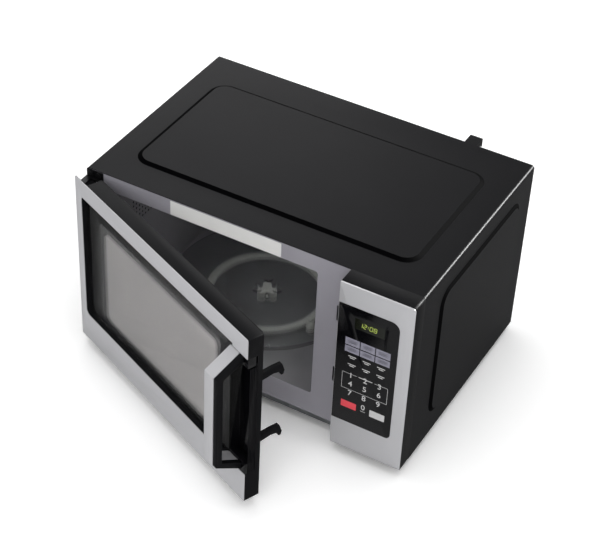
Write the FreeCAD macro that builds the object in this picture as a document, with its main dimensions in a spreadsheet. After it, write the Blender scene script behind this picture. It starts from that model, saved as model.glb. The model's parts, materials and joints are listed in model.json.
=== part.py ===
import FreeCAD, Part
import Sketcher
import math
import os
import re

# A countertop microwave oven, in millimetres.
# Frame: X across the front (+X towards the control panel), Y towards the back, Z up.
# Pieces are placed from the front plate's face (y = 0) and the underside of the cabinet (z = 0);
# front_y and foot_height then carry them into the part's own frame, which stands on z = 0.

SIZES = {
    # cabinet
    "cabinet_width": 488, "cabinet_height": 268, "cabinet_depth": 318.3,
    "wall": 0.8, "bend_radius": 4.5, "seam_gap": 0.3, "wrap_drop": 1.5,
    "base_rim": 6.2, "flange_width": 12,
    "emboss_top": 3, "emboss_side": 2.5, "emboss_slope": 6, "emboss_radius": 24,
    "emboss_margin_x": 38, "emboss_front": 44, "emboss_back": 56,
    "side_front": 47, "side_back": 36, "side_low": 32, "side_top": 28,
    "foot_height": 13, "foot_radius": 14, "foot_stud": 3, "foot_inset_x": 44, "foot_inset_y": 32,
    "spacer_x": 141, "spacer_width": 18, "spacer_reach": 22, "spacer_height": 16,
    "screw_head": 3.8, "screw_shank": 1.9, "screw_hole": 2.0, "screw_length": 8, "screw_head_height": 2,
    "gland_radius": 8, "gland_x": 212, "gland_z": 45,
    # oven cavity
    "opening_left": 30, "opening_width": 312.3, "opening_low": 41.2, "opening_high": 243.4,
    "opening_radius": 4, "floor_top": 22, "cavity_depth": 305.2, "vent_radius": 2, "vent_pitch": 7,
    # latch slots in the front plate
    "slot_x": 127.5, "slot_width": 11.8, "slot_height": 25, "upper_slot": 179, "lower_slot": 78,
    # control panel
    "panel_left": 143.4, "panel_depth": 27.7, "panel_skin_thick": 2.5, "panel_wall": 2.5,
    "bevel_right": 12.5, "bevel_low": 10, "bevel_deep": 2, "plateau_radius": 14,
    "keypad_left": 144, "keypad_right": 227, "keypad_low": 48, "keypad_high": 237.5,
    "keypad_thick": 0.5, "keypad_top_radius": 12, "keypad_low_radius": 7,
    "display_left": 167, "display_right": 208, "display_low": 205.5, "display_high": 222,
    "board_thick": 1.6, "board_gap": 10.1,
    # turntable
    "tray_radius": 135, "tray_flat": 92, "tray_thick": 5, "tray_rise": 6.7,
    "roller_radius": 7.85, "roller_width": 8, "roller_track": 96, "roller_angle": 340, "axle_radius": 2, "run_gap": 0.3,
    "ring_inner": 76, "ring_outer": 86, "ring_thick": 5, "coupler_radius": 15, "shaft_radius": 3,
    "turn_motor_radius": 24, "turn_motor_height": 14,
    # door, given as closed: u from its hinge edge, w forward from its rear face
    "door_width": 384, "door_thick": 24.85, "door_low": 2.9, "door_gap": 1.5, "door_edge": 0.5,
    "open_angle": 23.8, "pivot_u": 5, "pivot_w": 18, "pin_radius": 2.5, "bore_gap": 0.05,
    "arm_half": 4.5, "arm_thick": 2, "notch_u": 28, "notch_w": 23.3, "notch_height": 13.5,
    "skin_thick": 1.2, "skin_left": 13.4, "skin_low": 47, "skin_high": 242.5,
    "glass_sink": 6.6, "glass_thick": 3, "glass_fit": 0.4,
    "window_left": 52.6, "window_right": 307, "window_low": 58.8, "window_high": 205.3,
    "frame_rear": 2, "frame_wall": 2.4, "screen_w": 9, "screen_thick": 0.6, "film_w": 4.5, "film_thick": 0.4,
    "grip_left": 349.2, "grip_width": 25.6, "grip_reach": 36.2, "grip_wall": 9,
    "grip_low": 53, "grip_low_bend": 73.5, "grip_high_bend": 215.9, "grip_high": 237.4,
    "cup_low": 50, "cup_high": 238.6, "cup_w": 8.2, "cup_wall": 1.2,
    # latch
    "hook_u": 372, "hook_thick": 6, "hook_lift": 3, "hook_bar_w": 2.6, "hook_bar_thick": 3.2,
    "hook_reach": 35, "upper_hook": 187, "lower_hook": 86, "hook_height": 11.5, "nose_drop": 4,
    "switch_gap": 0.8, "plunger_travel": 1.5,
    # machine compartment
    "guide_y": 100, "guide_z": 112, "guide_length": 90, "guide_height": 90, "guide_depth": 36, "guide_wall": 1,
    "yoke_length": 54, "yoke_width": 80, "yoke_height": 80, "yoke_wall": 1.6,
    "fin_thick": 0.8, "anode_radius": 18, "antenna_radius": 7,
    "core_x": 118, "core_y": 150, "core_length": 100, "core_width": 60, "core_height": 80,
    "core_leg": 15, "coil_fit": 0.3, "coil_reach": 20,
    "can_length": 92, "can_width": 34, "can_height": 51, "can_y": 244, "strap": 1.2,
    "fan_x": 172, "fan_z": 164, "fan_radius": 45.5, "fan_hub": 12, "ring_bore": 47, "ring_wall": 3,
    "ring_length": 28, "fan_shaft": 2, "fan_width": 14,
}

# the front of the open door's grip and the back of the wall spacer are the part's two ends in Y
angle = math.radians(SIZES["open_angle"])
grip_u = SIZES["grip_left"] + SIZES["grip_width"] - SIZES["pivot_u"]
grip_w = SIZES["door_thick"] + SIZES["grip_reach"] - SIZES["pivot_w"]
front_reach = SIZES["door_gap"] + SIZES["pivot_w"] + grip_u * math.sin(angle) + grip_w * math.cos(angle)
back_reach = SIZES["cabinet_depth"] + SIZES["spacer_reach"]
SIZES["front_y"] = round((front_reach - back_reach) / 2, 1)

HALF = "cabinet_width / 2"
INNER = "(cabinet_width / 2 - wall - seam_gap)"
TOP = "(cabinet_height - wall - seam_gap)"
DOOR_LEFT = "(door_edge - cabinet_width / 2)"
PIVOT_X = f"({DOOR_LEFT} + pivot_u)"
PIVOT_Y = "(-door_gap - pivot_w)"
OPEN_LEFT = "(opening_left - cabinet_width / 2)"
OPEN_RIGHT = f"({OPEN_LEFT} + opening_width)"
CENTRE_X = f"({OPEN_LEFT} + opening_width / 2)"
CENTRE_Y = "(wall + cavity_depth / 2)"
TRAY_LOW = "(floor_top + run_gap + 2 * roller_radius + run_gap)"
SIDE = f"({OPEN_RIGHT} + wall)"          # machine side of the cavity's right wall
SHROUD_BACK = "(cabinet_depth - 2 * wall)"

doc = FreeCAD.newDocument("MicrowaveOven")
sheet = doc.addObject("Spreadsheet::Sheet", "sizes")
for row, (size, amount) in enumerate(SIZES.items(), start=1):
    sheet.set(f"A{row}", size)
    sheet.set(f"B{row}", str(amount))
    sheet.setAlias(f"B{row}", size)
doc.recompute()

X, Y, Z = FreeCAD.Vector(1, 0, 0), FreeCAD.Vector(0, 1, 0), FreeCAD.Vector(0, 0, 1)
AXES = {"x": X, "y": Y, "z": Z}
nodes = {}
on_door = set()


# ---- tools of the trade -------------------------------------------------------------------------

def tied(formula):
    """A formula with every size's name pointed at the sheet."""
    return re.sub(r"[a-z]\w+", lambda word: "sizes." + word[0] if word[0] in SIZES else word[0], str(formula))


def worth(formula):
    """The number that a formula gives now."""
    names = re.sub(r"[a-z]\w+", lambda word: str(SIZES[word[0]]), str(formula))
    return FreeCAD.Units.Quantity(names).Value


def unique(name):
    return name + "_" + str(len(doc.Objects))


def shift(obj, x=0, y=0, z=0, turn=None):
    """Place an object in the cabinet's frame."""
    obj.setExpression("Placement.Base.x", tied(x))
    obj.setExpression("Placement.Base.y", tied(f"front_y + ({y})"))
    obj.setExpression("Placement.Base.z", tied(f"foot_height + ({z})"))
    if turn:
        obj.Placement.Rotation = turn
    return obj


def box(x, y, z, name="box"):
    solid = doc.addObject("Part::Box", unique(name))
    for side, (low, high) in zip(("Length", "Width", "Height"), (x, y, z)):
        solid.setExpression(side, tied(f"({high}) - ({low})"))
    return shift(solid, x[0], y[0], z[0])


def rod(axis, start, length, radius, name="rod"):
    """A cylinder from a start point along x, y or z."""
    solid = doc.addObject("Part::Cylinder", unique(name))
    solid.setExpression("Radius", tied(radius))
    solid.setExpression("Height", tied(length))
    return shift(solid, *start, turn=FreeCAD.Rotation(Z, AXES[axis]))


def fuse(*solids):
    joined = doc.addObject("Part::MultiFuse", unique("fuse"))
    joined.Shapes = list(solids)
    return joined


def group(*solids):
    together = doc.addObject("Part::Compound", unique("group"))
    together.Links = list(solids)
    return together


def cut(base, *tools):
    rest = doc.addObject("Part::Cut", unique("cut"))
    rest.Base = base
    rest.Tool = fuse(*tools) if len(tools) > 1 else tools[0]
    return rest


def hang(obj):
    """Turn a door piece, drawn closed, to where it stands at rest."""
    obj.setExpression("Placement", tied(
        "placement(vector(0; 0; 0); rotation(vector(0; 0; 1); -open_angle); "
        f"vector({PIVOT_X}; front_y + {PIVOT_Y}; 0))"))
    return obj


def node(name, obj, door=False):
    """Give a finished sub-part the name of its file."""
    if door:
        obj = hang(obj if obj.isDerivedFrom("Part::Boolean") or obj.isDerivedFrom("Part::MultiFuse") else group(obj))
    obj.Label = name
    nodes[name] = obj
    return obj


# sketches: each outline is a function that draws itself and ties itself to the sheet

def tie(sketch, kind, *where):
    """A dimension whose last item is a formula."""
    index = sketch.addConstraint(Sketcher.Constraint(kind, *where[:-1], worth(where[-1])))
    sketch.setExpression(f"Constraints[{index}]", tied(where[-1]))


def polygon(*corners):
    def draw(sketch):
        first = sketch.GeometryCount
        spots = [FreeCAD.Vector(worth(a), worth(b), 0) for a, b in corners]
        for here, there in zip(spots, spots[1:] + spots[:1]):
            sketch.addGeometry(Part.LineSegment(here, there))
        count = len(corners)
        for i in range(count):
            sketch.addConstraint(Sketcher.Constraint("Coincident", first + i, 2, first + (i + 1) % count, 1))
        for i, (a, b) in enumerate(corners):
            tie(sketch, "DistanceX", first + i, 1, a)
            tie(sketch, "DistanceY", first + i, 1, b)
    return draw


def disc(a, b, radius):
    def draw(sketch):
        centre = FreeCAD.Vector(worth(a), worth(b), 0)
        index = sketch.addGeometry(Part.Circle(centre, FreeCAD.Vector(0, 0, 1), worth(radius)))
        tie(sketch, "DistanceX", index, 3, a)
        tie(sketch, "DistanceY", index, 3, b)
        tie(sketch, "Radius", index, radius)
    return draw


def pane(a, b, radii=0):
    """A rectangle from a[0] to a[1] and b[0] to b[1]; radii is one radius, or one for each corner:
    low left, low right, high right, high left (0 leaves a corner sharp)."""
    radii = [radii] * 4 if not isinstance(radii, (list, tuple)) else radii
    corners = [(a[0], b[0]), (a[1], b[0]), (a[1], b[1]), (a[0], b[1])]

    def draw(sketch):
        spots = [FreeCAD.Vector(worth(p), worth(q), 0) for p, q in corners]
        sizes = [worth(radius) for radius in radii]
        heads = [(spots[(i + 1) % 4] - spots[i]).normalize() for i in range(4)]
        lines = []
        for i in range(4):
            start = spots[i] + heads[i] * sizes[i]
            end = spots[(i + 1) % 4] - heads[i] * sizes[(i + 1) % 4]
            lines.append(sketch.addGeometry(Part.LineSegment(start, end)))
            level = "Horizontal" if i % 2 == 0 else "Vertical"
            sketch.addConstraint(Sketcher.Constraint(level, lines[i]))
        for i in range(4):
            if sizes[i] == 0:
                sketch.addConstraint(Sketcher.Constraint("Coincident", lines[i - 1], 2, lines[i], 1))
                continue
            middle = spots[i] + (heads[i] - heads[i - 1]) * sizes[i]
            begin = math.pi * (1 + i / 2)
            arc = Part.ArcOfCircle(Part.Circle(middle, FreeCAD.Vector(0, 0, 1), sizes[i]), begin, begin + math.pi / 2)
            index = sketch.addGeometry(arc)
            sketch.addConstraint(Sketcher.Constraint("Tangent", lines[i - 1], 2, index, 1))
            sketch.addConstraint(Sketcher.Constraint("Tangent", index, 2, lines[i], 1))
            tie(sketch, "Radius", index, radii[i])
        tie(sketch, "DistanceY", lines[0], 1, b[0])
        tie(sketch, "DistanceX", lines[1], 1, a[1])
        tie(sketch, "DistanceY", lines[2], 1, b[1])
        tie(sketch, "DistanceX", lines[3], 1, a[0])
    return draw


PLANES = {"z": ("XY_Plane", 1), "y": ("XZ_Plane", -1), "x": ("YZ_Plane", 1)}


def sketch_in(body, axis, level, *outlines):
    """A sketch in a body, square to an axis and at a level along it."""
    role, sense = PLANES[axis]
    sketch = body.newObject("Sketcher::SketchObject", unique("sketch"))
    plane = next(feature for feature in body.Origin.OriginFeatures if feature.Role == role)
    sketch.AttachmentSupport = [(plane, "")]
    sketch.MapMode = "FlatFace"
    sketch.setExpression("AttachmentOffset.Base.z", tied(f"{sense} * ({level})"))
    for draw in outlines:
        draw(sketch)
    return sketch


def prism(axis, low, high, *outlines):
    """A body padded along an axis from low to high."""
    body = shift(doc.addObject("PartDesign::Body", unique("body")))
    sketch = sketch_in(body, axis, low, *outlines)
    pad = body.newObject("PartDesign::Pad", unique("pad"))
    pad.Profile = sketch
    pad.Reversed = PLANES[axis][1] < 0
    pad.setExpression("Length", tied(f"({high}) - ({low})"))
    sketch.Visibility = False
    return body


def loft(axis, low, high, low_outline, high_outline):
    """A body lofted between two outlines."""
    body = shift(doc.addObject("PartDesign::Body", unique("body")))
    first = sketch_in(body, axis, low, low_outline)
    last = sketch_in(body, axis, high, high_outline)
    skin = body.newObject("PartDesign::AdditiveLoft", unique("loft"))
    skin.Profile = first
    skin.Sections = [last]
    return body


def spun(centre, *outlines):
    """A body turned about the vertical through a centre, from an outline of radius and height."""
    body = shift(doc.addObject("PartDesign::Body", unique("body")), *centre)
    sketch = sketch_in(body, "y", 0, *outlines)
    turned = body.newObject("PartDesign::Revolution", unique("turned"))
    turned.Profile = sketch
    turned.ReferenceAxis = (sketch, ["V_Axis"])
    turned.Angle = 360
    return body


def door_x(u):
    return f"{DOOR_LEFT} + ({u})"


def door_y(w):
    return f"-door_gap - ({w})"


def door_box(u, w, z):
    return box((door_x(u[0]), door_x(u[1])), (door_y(w[1]), door_y(w[0])), z)


def door_prism(w, *outlines):
    return prism("y", door_y(w[1]), door_y(w[0]), *outlines)


# ---- cabinet ------------------------------------------------------------------------------------

def screw_spots():
    """Where the rear screws go, as x and z."""
    side = f"{HALF} - flange_width / 2"
    high = "cabinet_height - flange_width / 2"
    spots = [(f"{sign}({side})", level) for sign in ("-", "") for level in ("25", "cabinet_height / 2")]
    spots += [(f"{sign}({side} - 24)", high) for sign in ("-", "")]
    return spots + [("-70", high), ("70", high)]


def outer_cabinet():
    """The wrap: two sides and a top bent from one sheet, with a raised pan on each face."""
    low = "-wrap_drop - 3 * bend_radius"
    outer = pane((f"-{HALF}", HALF), (low, "cabinet_height"), "bend_radius")
    inner = pane((f"wall - {HALF}", f"{HALF} - wall"), (f"{low} + wall", "cabinet_height - wall"), "bend_radius - wall")
    hole = pane((f"flange_width - {HALF}", f"{HALF} - flange_width"),
                (f"{low} + flange_width", "cabinet_height - flange_width"), 4)
    shell = prism("y", 0, "cabinet_depth", outer, inner)
    flange = prism("y", "cabinet_depth - wall", "cabinet_depth", outer, hole)

    def pan(axis, level, height, a, b):
        """The outside and the inside of a raised pan."""
        foot = pane(a, b, "emboss_radius")
        rim = pane((f"{a[0]} + emboss_slope", f"{a[1]} - emboss_slope"),
                   (f"{b[0]} + emboss_slope", f"{b[1]} - emboss_slope"), "emboss_radius - emboss_slope")
        raised = f"{level} + {height}"
        inside = f"{level} - ({height}) * wall / abs({height})"
        if "-" in height:
            raised = f"{level} {height}"
        return (loft(axis, level, raised, foot, rim), loft(axis, inside, f"{inside} + ({height})", foot, rim))

    side_y = ("side_front", "cabinet_depth - side_back")
    side_z = ("side_low", "cabinet_height - side_top")
    pans = [
        pan("z", "cabinet_height", "emboss_top",
            (f"emboss_margin_x - {HALF}", f"{HALF} - emboss_margin_x"),
            ("emboss_front", "cabinet_depth - emboss_back")),
        pan("x", HALF, "emboss_side", side_y, side_z),
        pan("x", f"-{HALF}", "-emboss_side", side_y, side_z),
    ]
    below = box((f"-{HALF} - 1", f"{HALF} + 1"), ("-1", "cabinet_depth + 1"),
                (f"{low} - 1", "-wrap_drop"))
    holes = [rod("y", (x, "cabinet_depth - wall - 1", z), "wall + 2", "screw_hole") for x, z in screw_spots()]
    outside = fuse(shell, flange, *[pair[0] for pair in pans])
    node("outer_cabinet", cut(outside, below, *[pair[1] for pair in pans], *holes))


def foot_spots():
    return [(f"{sx} * ({HALF} - foot_inset_x)", y) for sx in (-1, 1)
            for y in ("foot_inset_y", "cabinet_depth - foot_inset_y")]


def base_plate():
    """A shallow pan that carries everything, with slots that let cooling air in."""
    back = "cabinet_depth - 2 * wall"
    outer = pane((f"-{INNER}", INNER), (0, back))
    inner = pane((f"wall - {INNER}", f"{INNER} - wall"), ("wall", f"{back} - wall"))
    studs = [disc(x, y, "foot_stud + 0.1") for x, y in foot_spots()]
    floor = prism("z", 0, "wall", outer, *studs)
    rim = prism("z", 0, "base_rim", outer, inner)
    slots = [box((f"{SIDE} + {20 + 12 * i}", f"{SIDE} + {24 + 12 * i}"), (92, 136), (-1, "wall + 1")) for i in range(9)]
    screws = [rod("z", (x, y, -1), "wall + 2", "screw_hole") for x, y in lower_hinge_screws()]
    node("base_plate", cut(fuse(floor, rim), *slots, *screws))


def rear_panel():
    low, high = "cabinet_depth - 2 * wall", "cabinet_depth - wall"
    plate = prism("y", low, high, pane((f"-{INNER}", INNER), (0, TOP), 3))
    intake = [box((f"fan_x - {48 - 50 * side}", f"fan_x - {4 - 50 * side}"), (f"{low} - 1", f"{high} + 1"),
                  (f"fan_z + {8 * i - 44}", f"fan_z + {8 * i - 40}"))
              for side in (0, 1) for i in range(11)]
    exhaust = [box((f"{30 + 16 * i - 215}", f"{34 + 16 * i - 215}"), (f"{low} - 1", f"{high} + 1"), (176, 226))
               for i in range(8)]
    holes = [rod("y", (x, f"{low} - 1", z), "wall + 2", "screw_hole") for x, z in screw_spots()]
    gland = rod("y", ("gland_x", f"{low} - 1", "gland_z"), "wall + 2", "gland_radius + 0.1")
    node("rear_panel", cut(plate, gland, *intake, *exhaust, *holes))


def front_plate():
    """The painted steel front: the oven's mouth, the latch slots and the way to the controls."""
    slots = [pane(("slot_x", "slot_x + slot_width"), (z, f"{z} + slot_height"), 1.5)
             for z in ("upper_slot", "lower_slot")]
    plate = prism("y", 0, "wall",
                  pane((f"-{INNER}", INNER), ("base_rim + seam_gap", TOP), "bend_radius - wall - seam_gap"),
                  pane((OPEN_LEFT, OPEN_RIGHT), ("opening_low", "opening_high"), "opening_radius"),
                  pane(("panel_left + 7", f"{HALF} - 8"), (20, "cabinet_height - 18"), 5), *slots)
    holes = [rod("y", (x, -1, z), "wall + 2", "screw_hole") for x, z in upper_hinge_screws()]
    node("front_plate", cut(plate, *holes))


def feet():
    """Four moulded feet, each held by its stud in the base."""
    foot = (("0", "-foot_height"), ("foot_radius - 3", "-foot_height"), ("foot_radius", "0"),
            ("foot_stud", "0"), ("foot_stud", "wall + 3"), ("0", "wall + 3"))
    node("feet", group(*[spun((x, y, 0), polygon(*foot)) for x, y in foot_spots()]))


def wall_spacer():
    """A black stand-off that keeps the oven's back from the wall."""
    right, top = "spacer_x + spacer_width", "cabinet_height - 2"
    plate = box(("spacer_x", right), ("cabinet_depth", "cabinet_depth + 2"), (f"{top} - spacer_height", top))
    ribs = [box((x, f"{x} + 2.5"), ("cabinet_depth", "cabinet_depth + spacer_reach"), (f"{top} - 8", top))
            for x in ("spacer_x", "spacer_x + spacer_width - 2.5")]
    shelf = box(("spacer_x", right), ("cabinet_depth", "cabinet_depth + spacer_reach"), (f"{top} - 2.5", top))
    nose = box(("spacer_x", right), ("cabinet_depth + spacer_reach - 2.5", "cabinet_depth + spacer_reach"),
               (f"{top} - 12", top))
    node("wall_spacer", fuse(plate, shelf, nose, *ribs))


def cord_gland():
    """The moulded inlet that a supply cord would pass through."""
    face = "cabinet_depth - wall"
    collar = rod("y", ("gland_x", face, "gland_z"), 3, "gland_radius + 3")
    neck = rod("y", ("gland_x", f"{face} - 8", "gland_z"), 8, "gland_radius")
    bore = rod("y", ("gland_x", f"{face} - 9", "gland_z"), 14, 3.6)
    node("cord_gland", cut(fuse(collar, neck), bore))


def screw(axis, start, sense):
    """A pan-head screw: start is the underside of its head, and sense is the way its shank goes."""
    at = AXES[axis]
    head, shank = [str(s) for s in start], [str(s) for s in start]
    i = "xyz".index(axis)
    if sense > 0:
        head[i] = f"({start[i]}) - screw_head_height"
    else:
        shank[i] = f"({start[i]}) - screw_length"
    return fuse(rod(axis, head, "screw_head_height", "screw_head"), rod(axis, shank, "screw_length", "screw_shank"))


def cabinet_screws():
    node("cabinet_screws", group(*[screw("y", (x, "cabinet_depth", z), -1) for x, z in screw_spots()]))


# ---- oven cavity --------------------------------------------------------------------------------

def cavity():
    """Five sheets behind the front plate: floor, two sides, back and ceiling."""
    left, right = f"{OPEN_LEFT} - wall", f"{OPEN_RIGHT} + wall"
    depth, back = ("wall", "wall + cavity_depth + wall"), "wall + cavity_depth"
    low, high = "floor_top", "opening_high"
    floor = box((left, right), depth, ("floor_top - wall", "floor_top"))
    hole = rod("z", (CENTRE_X, CENTRE_Y, "floor_top - wall - 1"), "wall + 2", "shaft_radius + 3")
    node("cavity_floor", cut(floor, hole))

    def vents(x, y, z, across, up):
        return [rod("x", (x, f"{y} + {i} * vent_pitch", f"{z} + {j} * vent_pitch"), "wall + 2", "vent_radius")
                for i in range(across) for j in range(up)]

    node("cavity_left_wall", cut(box((left, OPEN_LEFT), depth, (low, high)),
                                 *vents(f"{left} - 1", 60, 150, 9, 6)))
    window = box((f"{OPEN_RIGHT} - 1", f"{right} + 1"), ("guide_y + 12", "guide_y + guide_length - 12"),
                 ("guide_z + 12", "guide_z + guide_height - 12"))
    node("cavity_right_wall", cut(box((OPEN_RIGHT, right), depth, (low, high)), window,
                                  *vents(f"{OPEN_RIGHT} - 1", 226, 196, 5, 5)))
    node("cavity_rear_wall", box((OPEN_LEFT, OPEN_RIGHT), (back, f"{back} + wall"), (low, high)))
    node("cavity_ceiling", box((left, right), depth, (high, f"{high} + wall")))
    node("waveguide_cover", prism("x", f"{OPEN_RIGHT} - 0.6", OPEN_RIGHT,
                                  pane(("guide_y + 4", "guide_y + guide_length - 4"),
                                       ("guide_z + 4", "guide_z + guide_height - 4"), 5)))


# ---- turntable ----------------------------------------------------------------------------------

def turntable():
    shaft_top = "floor_top + 5"
    motor_top = "floor_top - wall"
    can = rod("z", (CENTRE_X, CENTRE_Y, f"{motor_top} - turn_motor_height"), "turn_motor_height", "turn_motor_radius")
    ears = box((f"{CENTRE_X} - turn_motor_radius - 8", f"{CENTRE_X} + turn_motor_radius + 8"),
               (f"{CENTRE_Y} - 6", f"{CENTRE_Y} + 6"), (f"{motor_top} - 1.5", motor_top))
    plug = box((f"{CENTRE_X} - 9", f"{CENTRE_X} + 9"), (f"{CENTRE_Y}", f"{CENTRE_Y} + turn_motor_radius + 9"),
               (f"{motor_top} - 11", f"{motor_top} - 3"))
    shaft = rod("z", (CENTRE_X, CENTRE_Y, f"{motor_top} - 1"), f"{shaft_top} - ({motor_top}) + 1", "shaft_radius")
    node("turntable_motor", fuse(can, ears, plug, shaft))

    # three-lobed driver on the shaft
    low, high = "floor_top + run_gap", f"{TRAY_LOW} - run_gap"
    boss = rod("z", (CENTRE_X, CENTRE_Y, low), f"{high} - ({low})", "coupler_radius / 2")
    lobes = []
    for i in range(3):
        a = math.radians(120 * i)
        middle = (f"{CENTRE_X} + {math.cos(a):.6f} * coupler_radius * 0.6",
                  f"{CENTRE_Y} + {math.sin(a):.6f} * coupler_radius * 0.6", low)
        lobes.append(rod("z", middle, f"{high} - ({low})", "coupler_radius * 0.4"))
    socket = rod("z", (CENTRE_X, CENTRE_Y, f"{low} - 1"), f"{shaft_top} - ({low}) + 1.3", "shaft_radius + bore_gap")
    node("drive_coupler", cut(fuse(boss, *lobes), socket))

    # glass tray: a dish with a collar under it that keys over the driver
    rim = (("0", "0"), ("tray_flat", "0"), ("tray_radius - 10", "tray_rise - 2"), ("tray_radius", "tray_rise"),
           ("tray_radius", "tray_rise + tray_thick - 1.5"), ("tray_radius - 2", "tray_rise + tray_thick"),
           ("tray_radius - 8", "tray_rise + tray_thick - 1.5"), ("tray_flat", "tray_thick"), ("0", "tray_thick"))
    dish = spun((CENTRE_X, CENTRE_Y, TRAY_LOW), polygon(*rim))
    keys = []
    for i in range(3):
        a = math.radians(60 + 120 * i)
        middle = (f"{CENTRE_X} + {math.cos(a):.6f} * coupler_radius * 0.95",
                  f"{CENTRE_Y} + {math.sin(a):.6f} * coupler_radius * 0.95", f"{TRAY_LOW} - 6")
        keys.append(rod("z", middle, "8", "coupler_radius * 0.22"))
    node("glass_tray", fuse(dish, *keys))

    # roller ring: a flat ring with three stub axles
    mid = "(floor_top + run_gap + roller_radius)"
    ring = prism("z", f"{mid} - ring_thick / 2", f"{mid} + ring_thick / 2",
                 disc(CENTRE_X, CENTRE_Y, "ring_outer"), disc(CENTRE_X, CENTRE_Y, "ring_inner"))
    half = "roller_width / 2"
    stubs, rollers = [], []
    for i in range(3):
        a = SIZES["roller_angle"] + 120 * i
        spin = FreeCAD.Rotation(Z, a) * FreeCAD.Rotation(Z, X)
        cos, sin = math.cos(math.radians(a)), math.sin(math.radians(a))

        def along(start, length, radius, spin=spin, cos=cos, sin=sin):
            solid = doc.addObject("Part::Cylinder", unique("axle"))
            solid.setExpression("Radius", tied(radius))
            solid.setExpression("Height", tied(length))
            return shift(solid, f"{CENTRE_X} + {cos:.6f} * ({start})", f"{CENTRE_Y} + {sin:.6f} * ({start})", mid,
                         turn=spin)

        stubs.append(along("ring_outer - 2", f"roller_track + {half} + 2.3 - ring_outer + 2", "axle_radius"))
        stubs.append(along(f"roller_track + {half} + 0.8", "1.5", "axle_radius + 1.4"))
        wheel = along(f"roller_track - {half}", "roller_width", "roller_radius")
        bore = along(f"roller_track - {half} - 1", "roller_width + 2", "axle_radius + bore_gap")
        rollers.append(cut(wheel, bore))
    node("roller_ring", fuse(ring, *stubs))
    for i, roller in enumerate(rollers, start=1):
        node(f"roller_{i}", roller)


# ---- hinges -------------------------------------------------------------------------------------

def upper_hinge_screws():
    return [(f"{DOOR_LEFT} + {u}", "door_low + 259.1") for u in (7, 19)]


def lower_hinge_screws():
    return [(f"{DOOR_LEFT} + {u}", 27) for u in (7, 19)]


def hinges():
    """Two steel brackets whose pins carry the door: one set in a notch in its top, one under it."""
    notch_low = "cabinet_height - notch_height"
    arm_low = f"{notch_low} + 0.5"
    arm_top = f"{arm_low} + arm_thick"
    root = (f"{DOOR_LEFT} + 0.5", f"{DOOR_LEFT} + 25.5")

    def arm(low, high, back):
        bar = box((f"{PIVOT_X} - arm_half", f"{PIVOT_X} + arm_half"), (PIVOT_Y, back), (low, high))
        end = rod("z", (PIVOT_X, PIVOT_Y, low), f"{high} - ({low})", "arm_half")
        return [bar, end]

    upper = arm(arm_low, arm_top, 0) + [
        box(root, (-6, 0), (arm_low, arm_top)),
        box(root, (-1.2, 0), (arm_low, f"{TOP}")),
        rod("z", (PIVOT_X, PIVOT_Y, f"{notch_low} - 10.5"), "11.5", "pin_radius")]
    holes = [rod("y", (x, -3, z), 4, "screw_hole") for x, z in upper_hinge_screws()]
    node("upper_hinge", cut(fuse(*upper), *holes))

    lower = arm("-1.6", "0", 0) + [
        box(root, (0, 40), (-1.6, 0)),
        rod("z", (PIVOT_X, PIVOT_Y, -0.5), "door_low - seam_gap + 0.5", "arm_half"),
        rod("z", (PIVOT_X, PIVOT_Y, -0.5), "door_low + 11.5", "pin_radius")]
    holes = [rod("z", (x, y, -3), 4, "screw_hole") for x, y in lower_hinge_screws()]
    node("lower_hinge", cut(fuse(*lower), *holes))

    upper_screws = [screw("y", (x, -1.2, z), 1) for x, z in upper_hinge_screws()]
    lower_screws = [screw("z", (x, y, -1.6), 1) for x, y in lower_hinge_screws()]
    node("hinge_screws", group(*upper_screws, *lower_screws))


# ---- control panel ------------------------------------------------------------------------------

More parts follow.
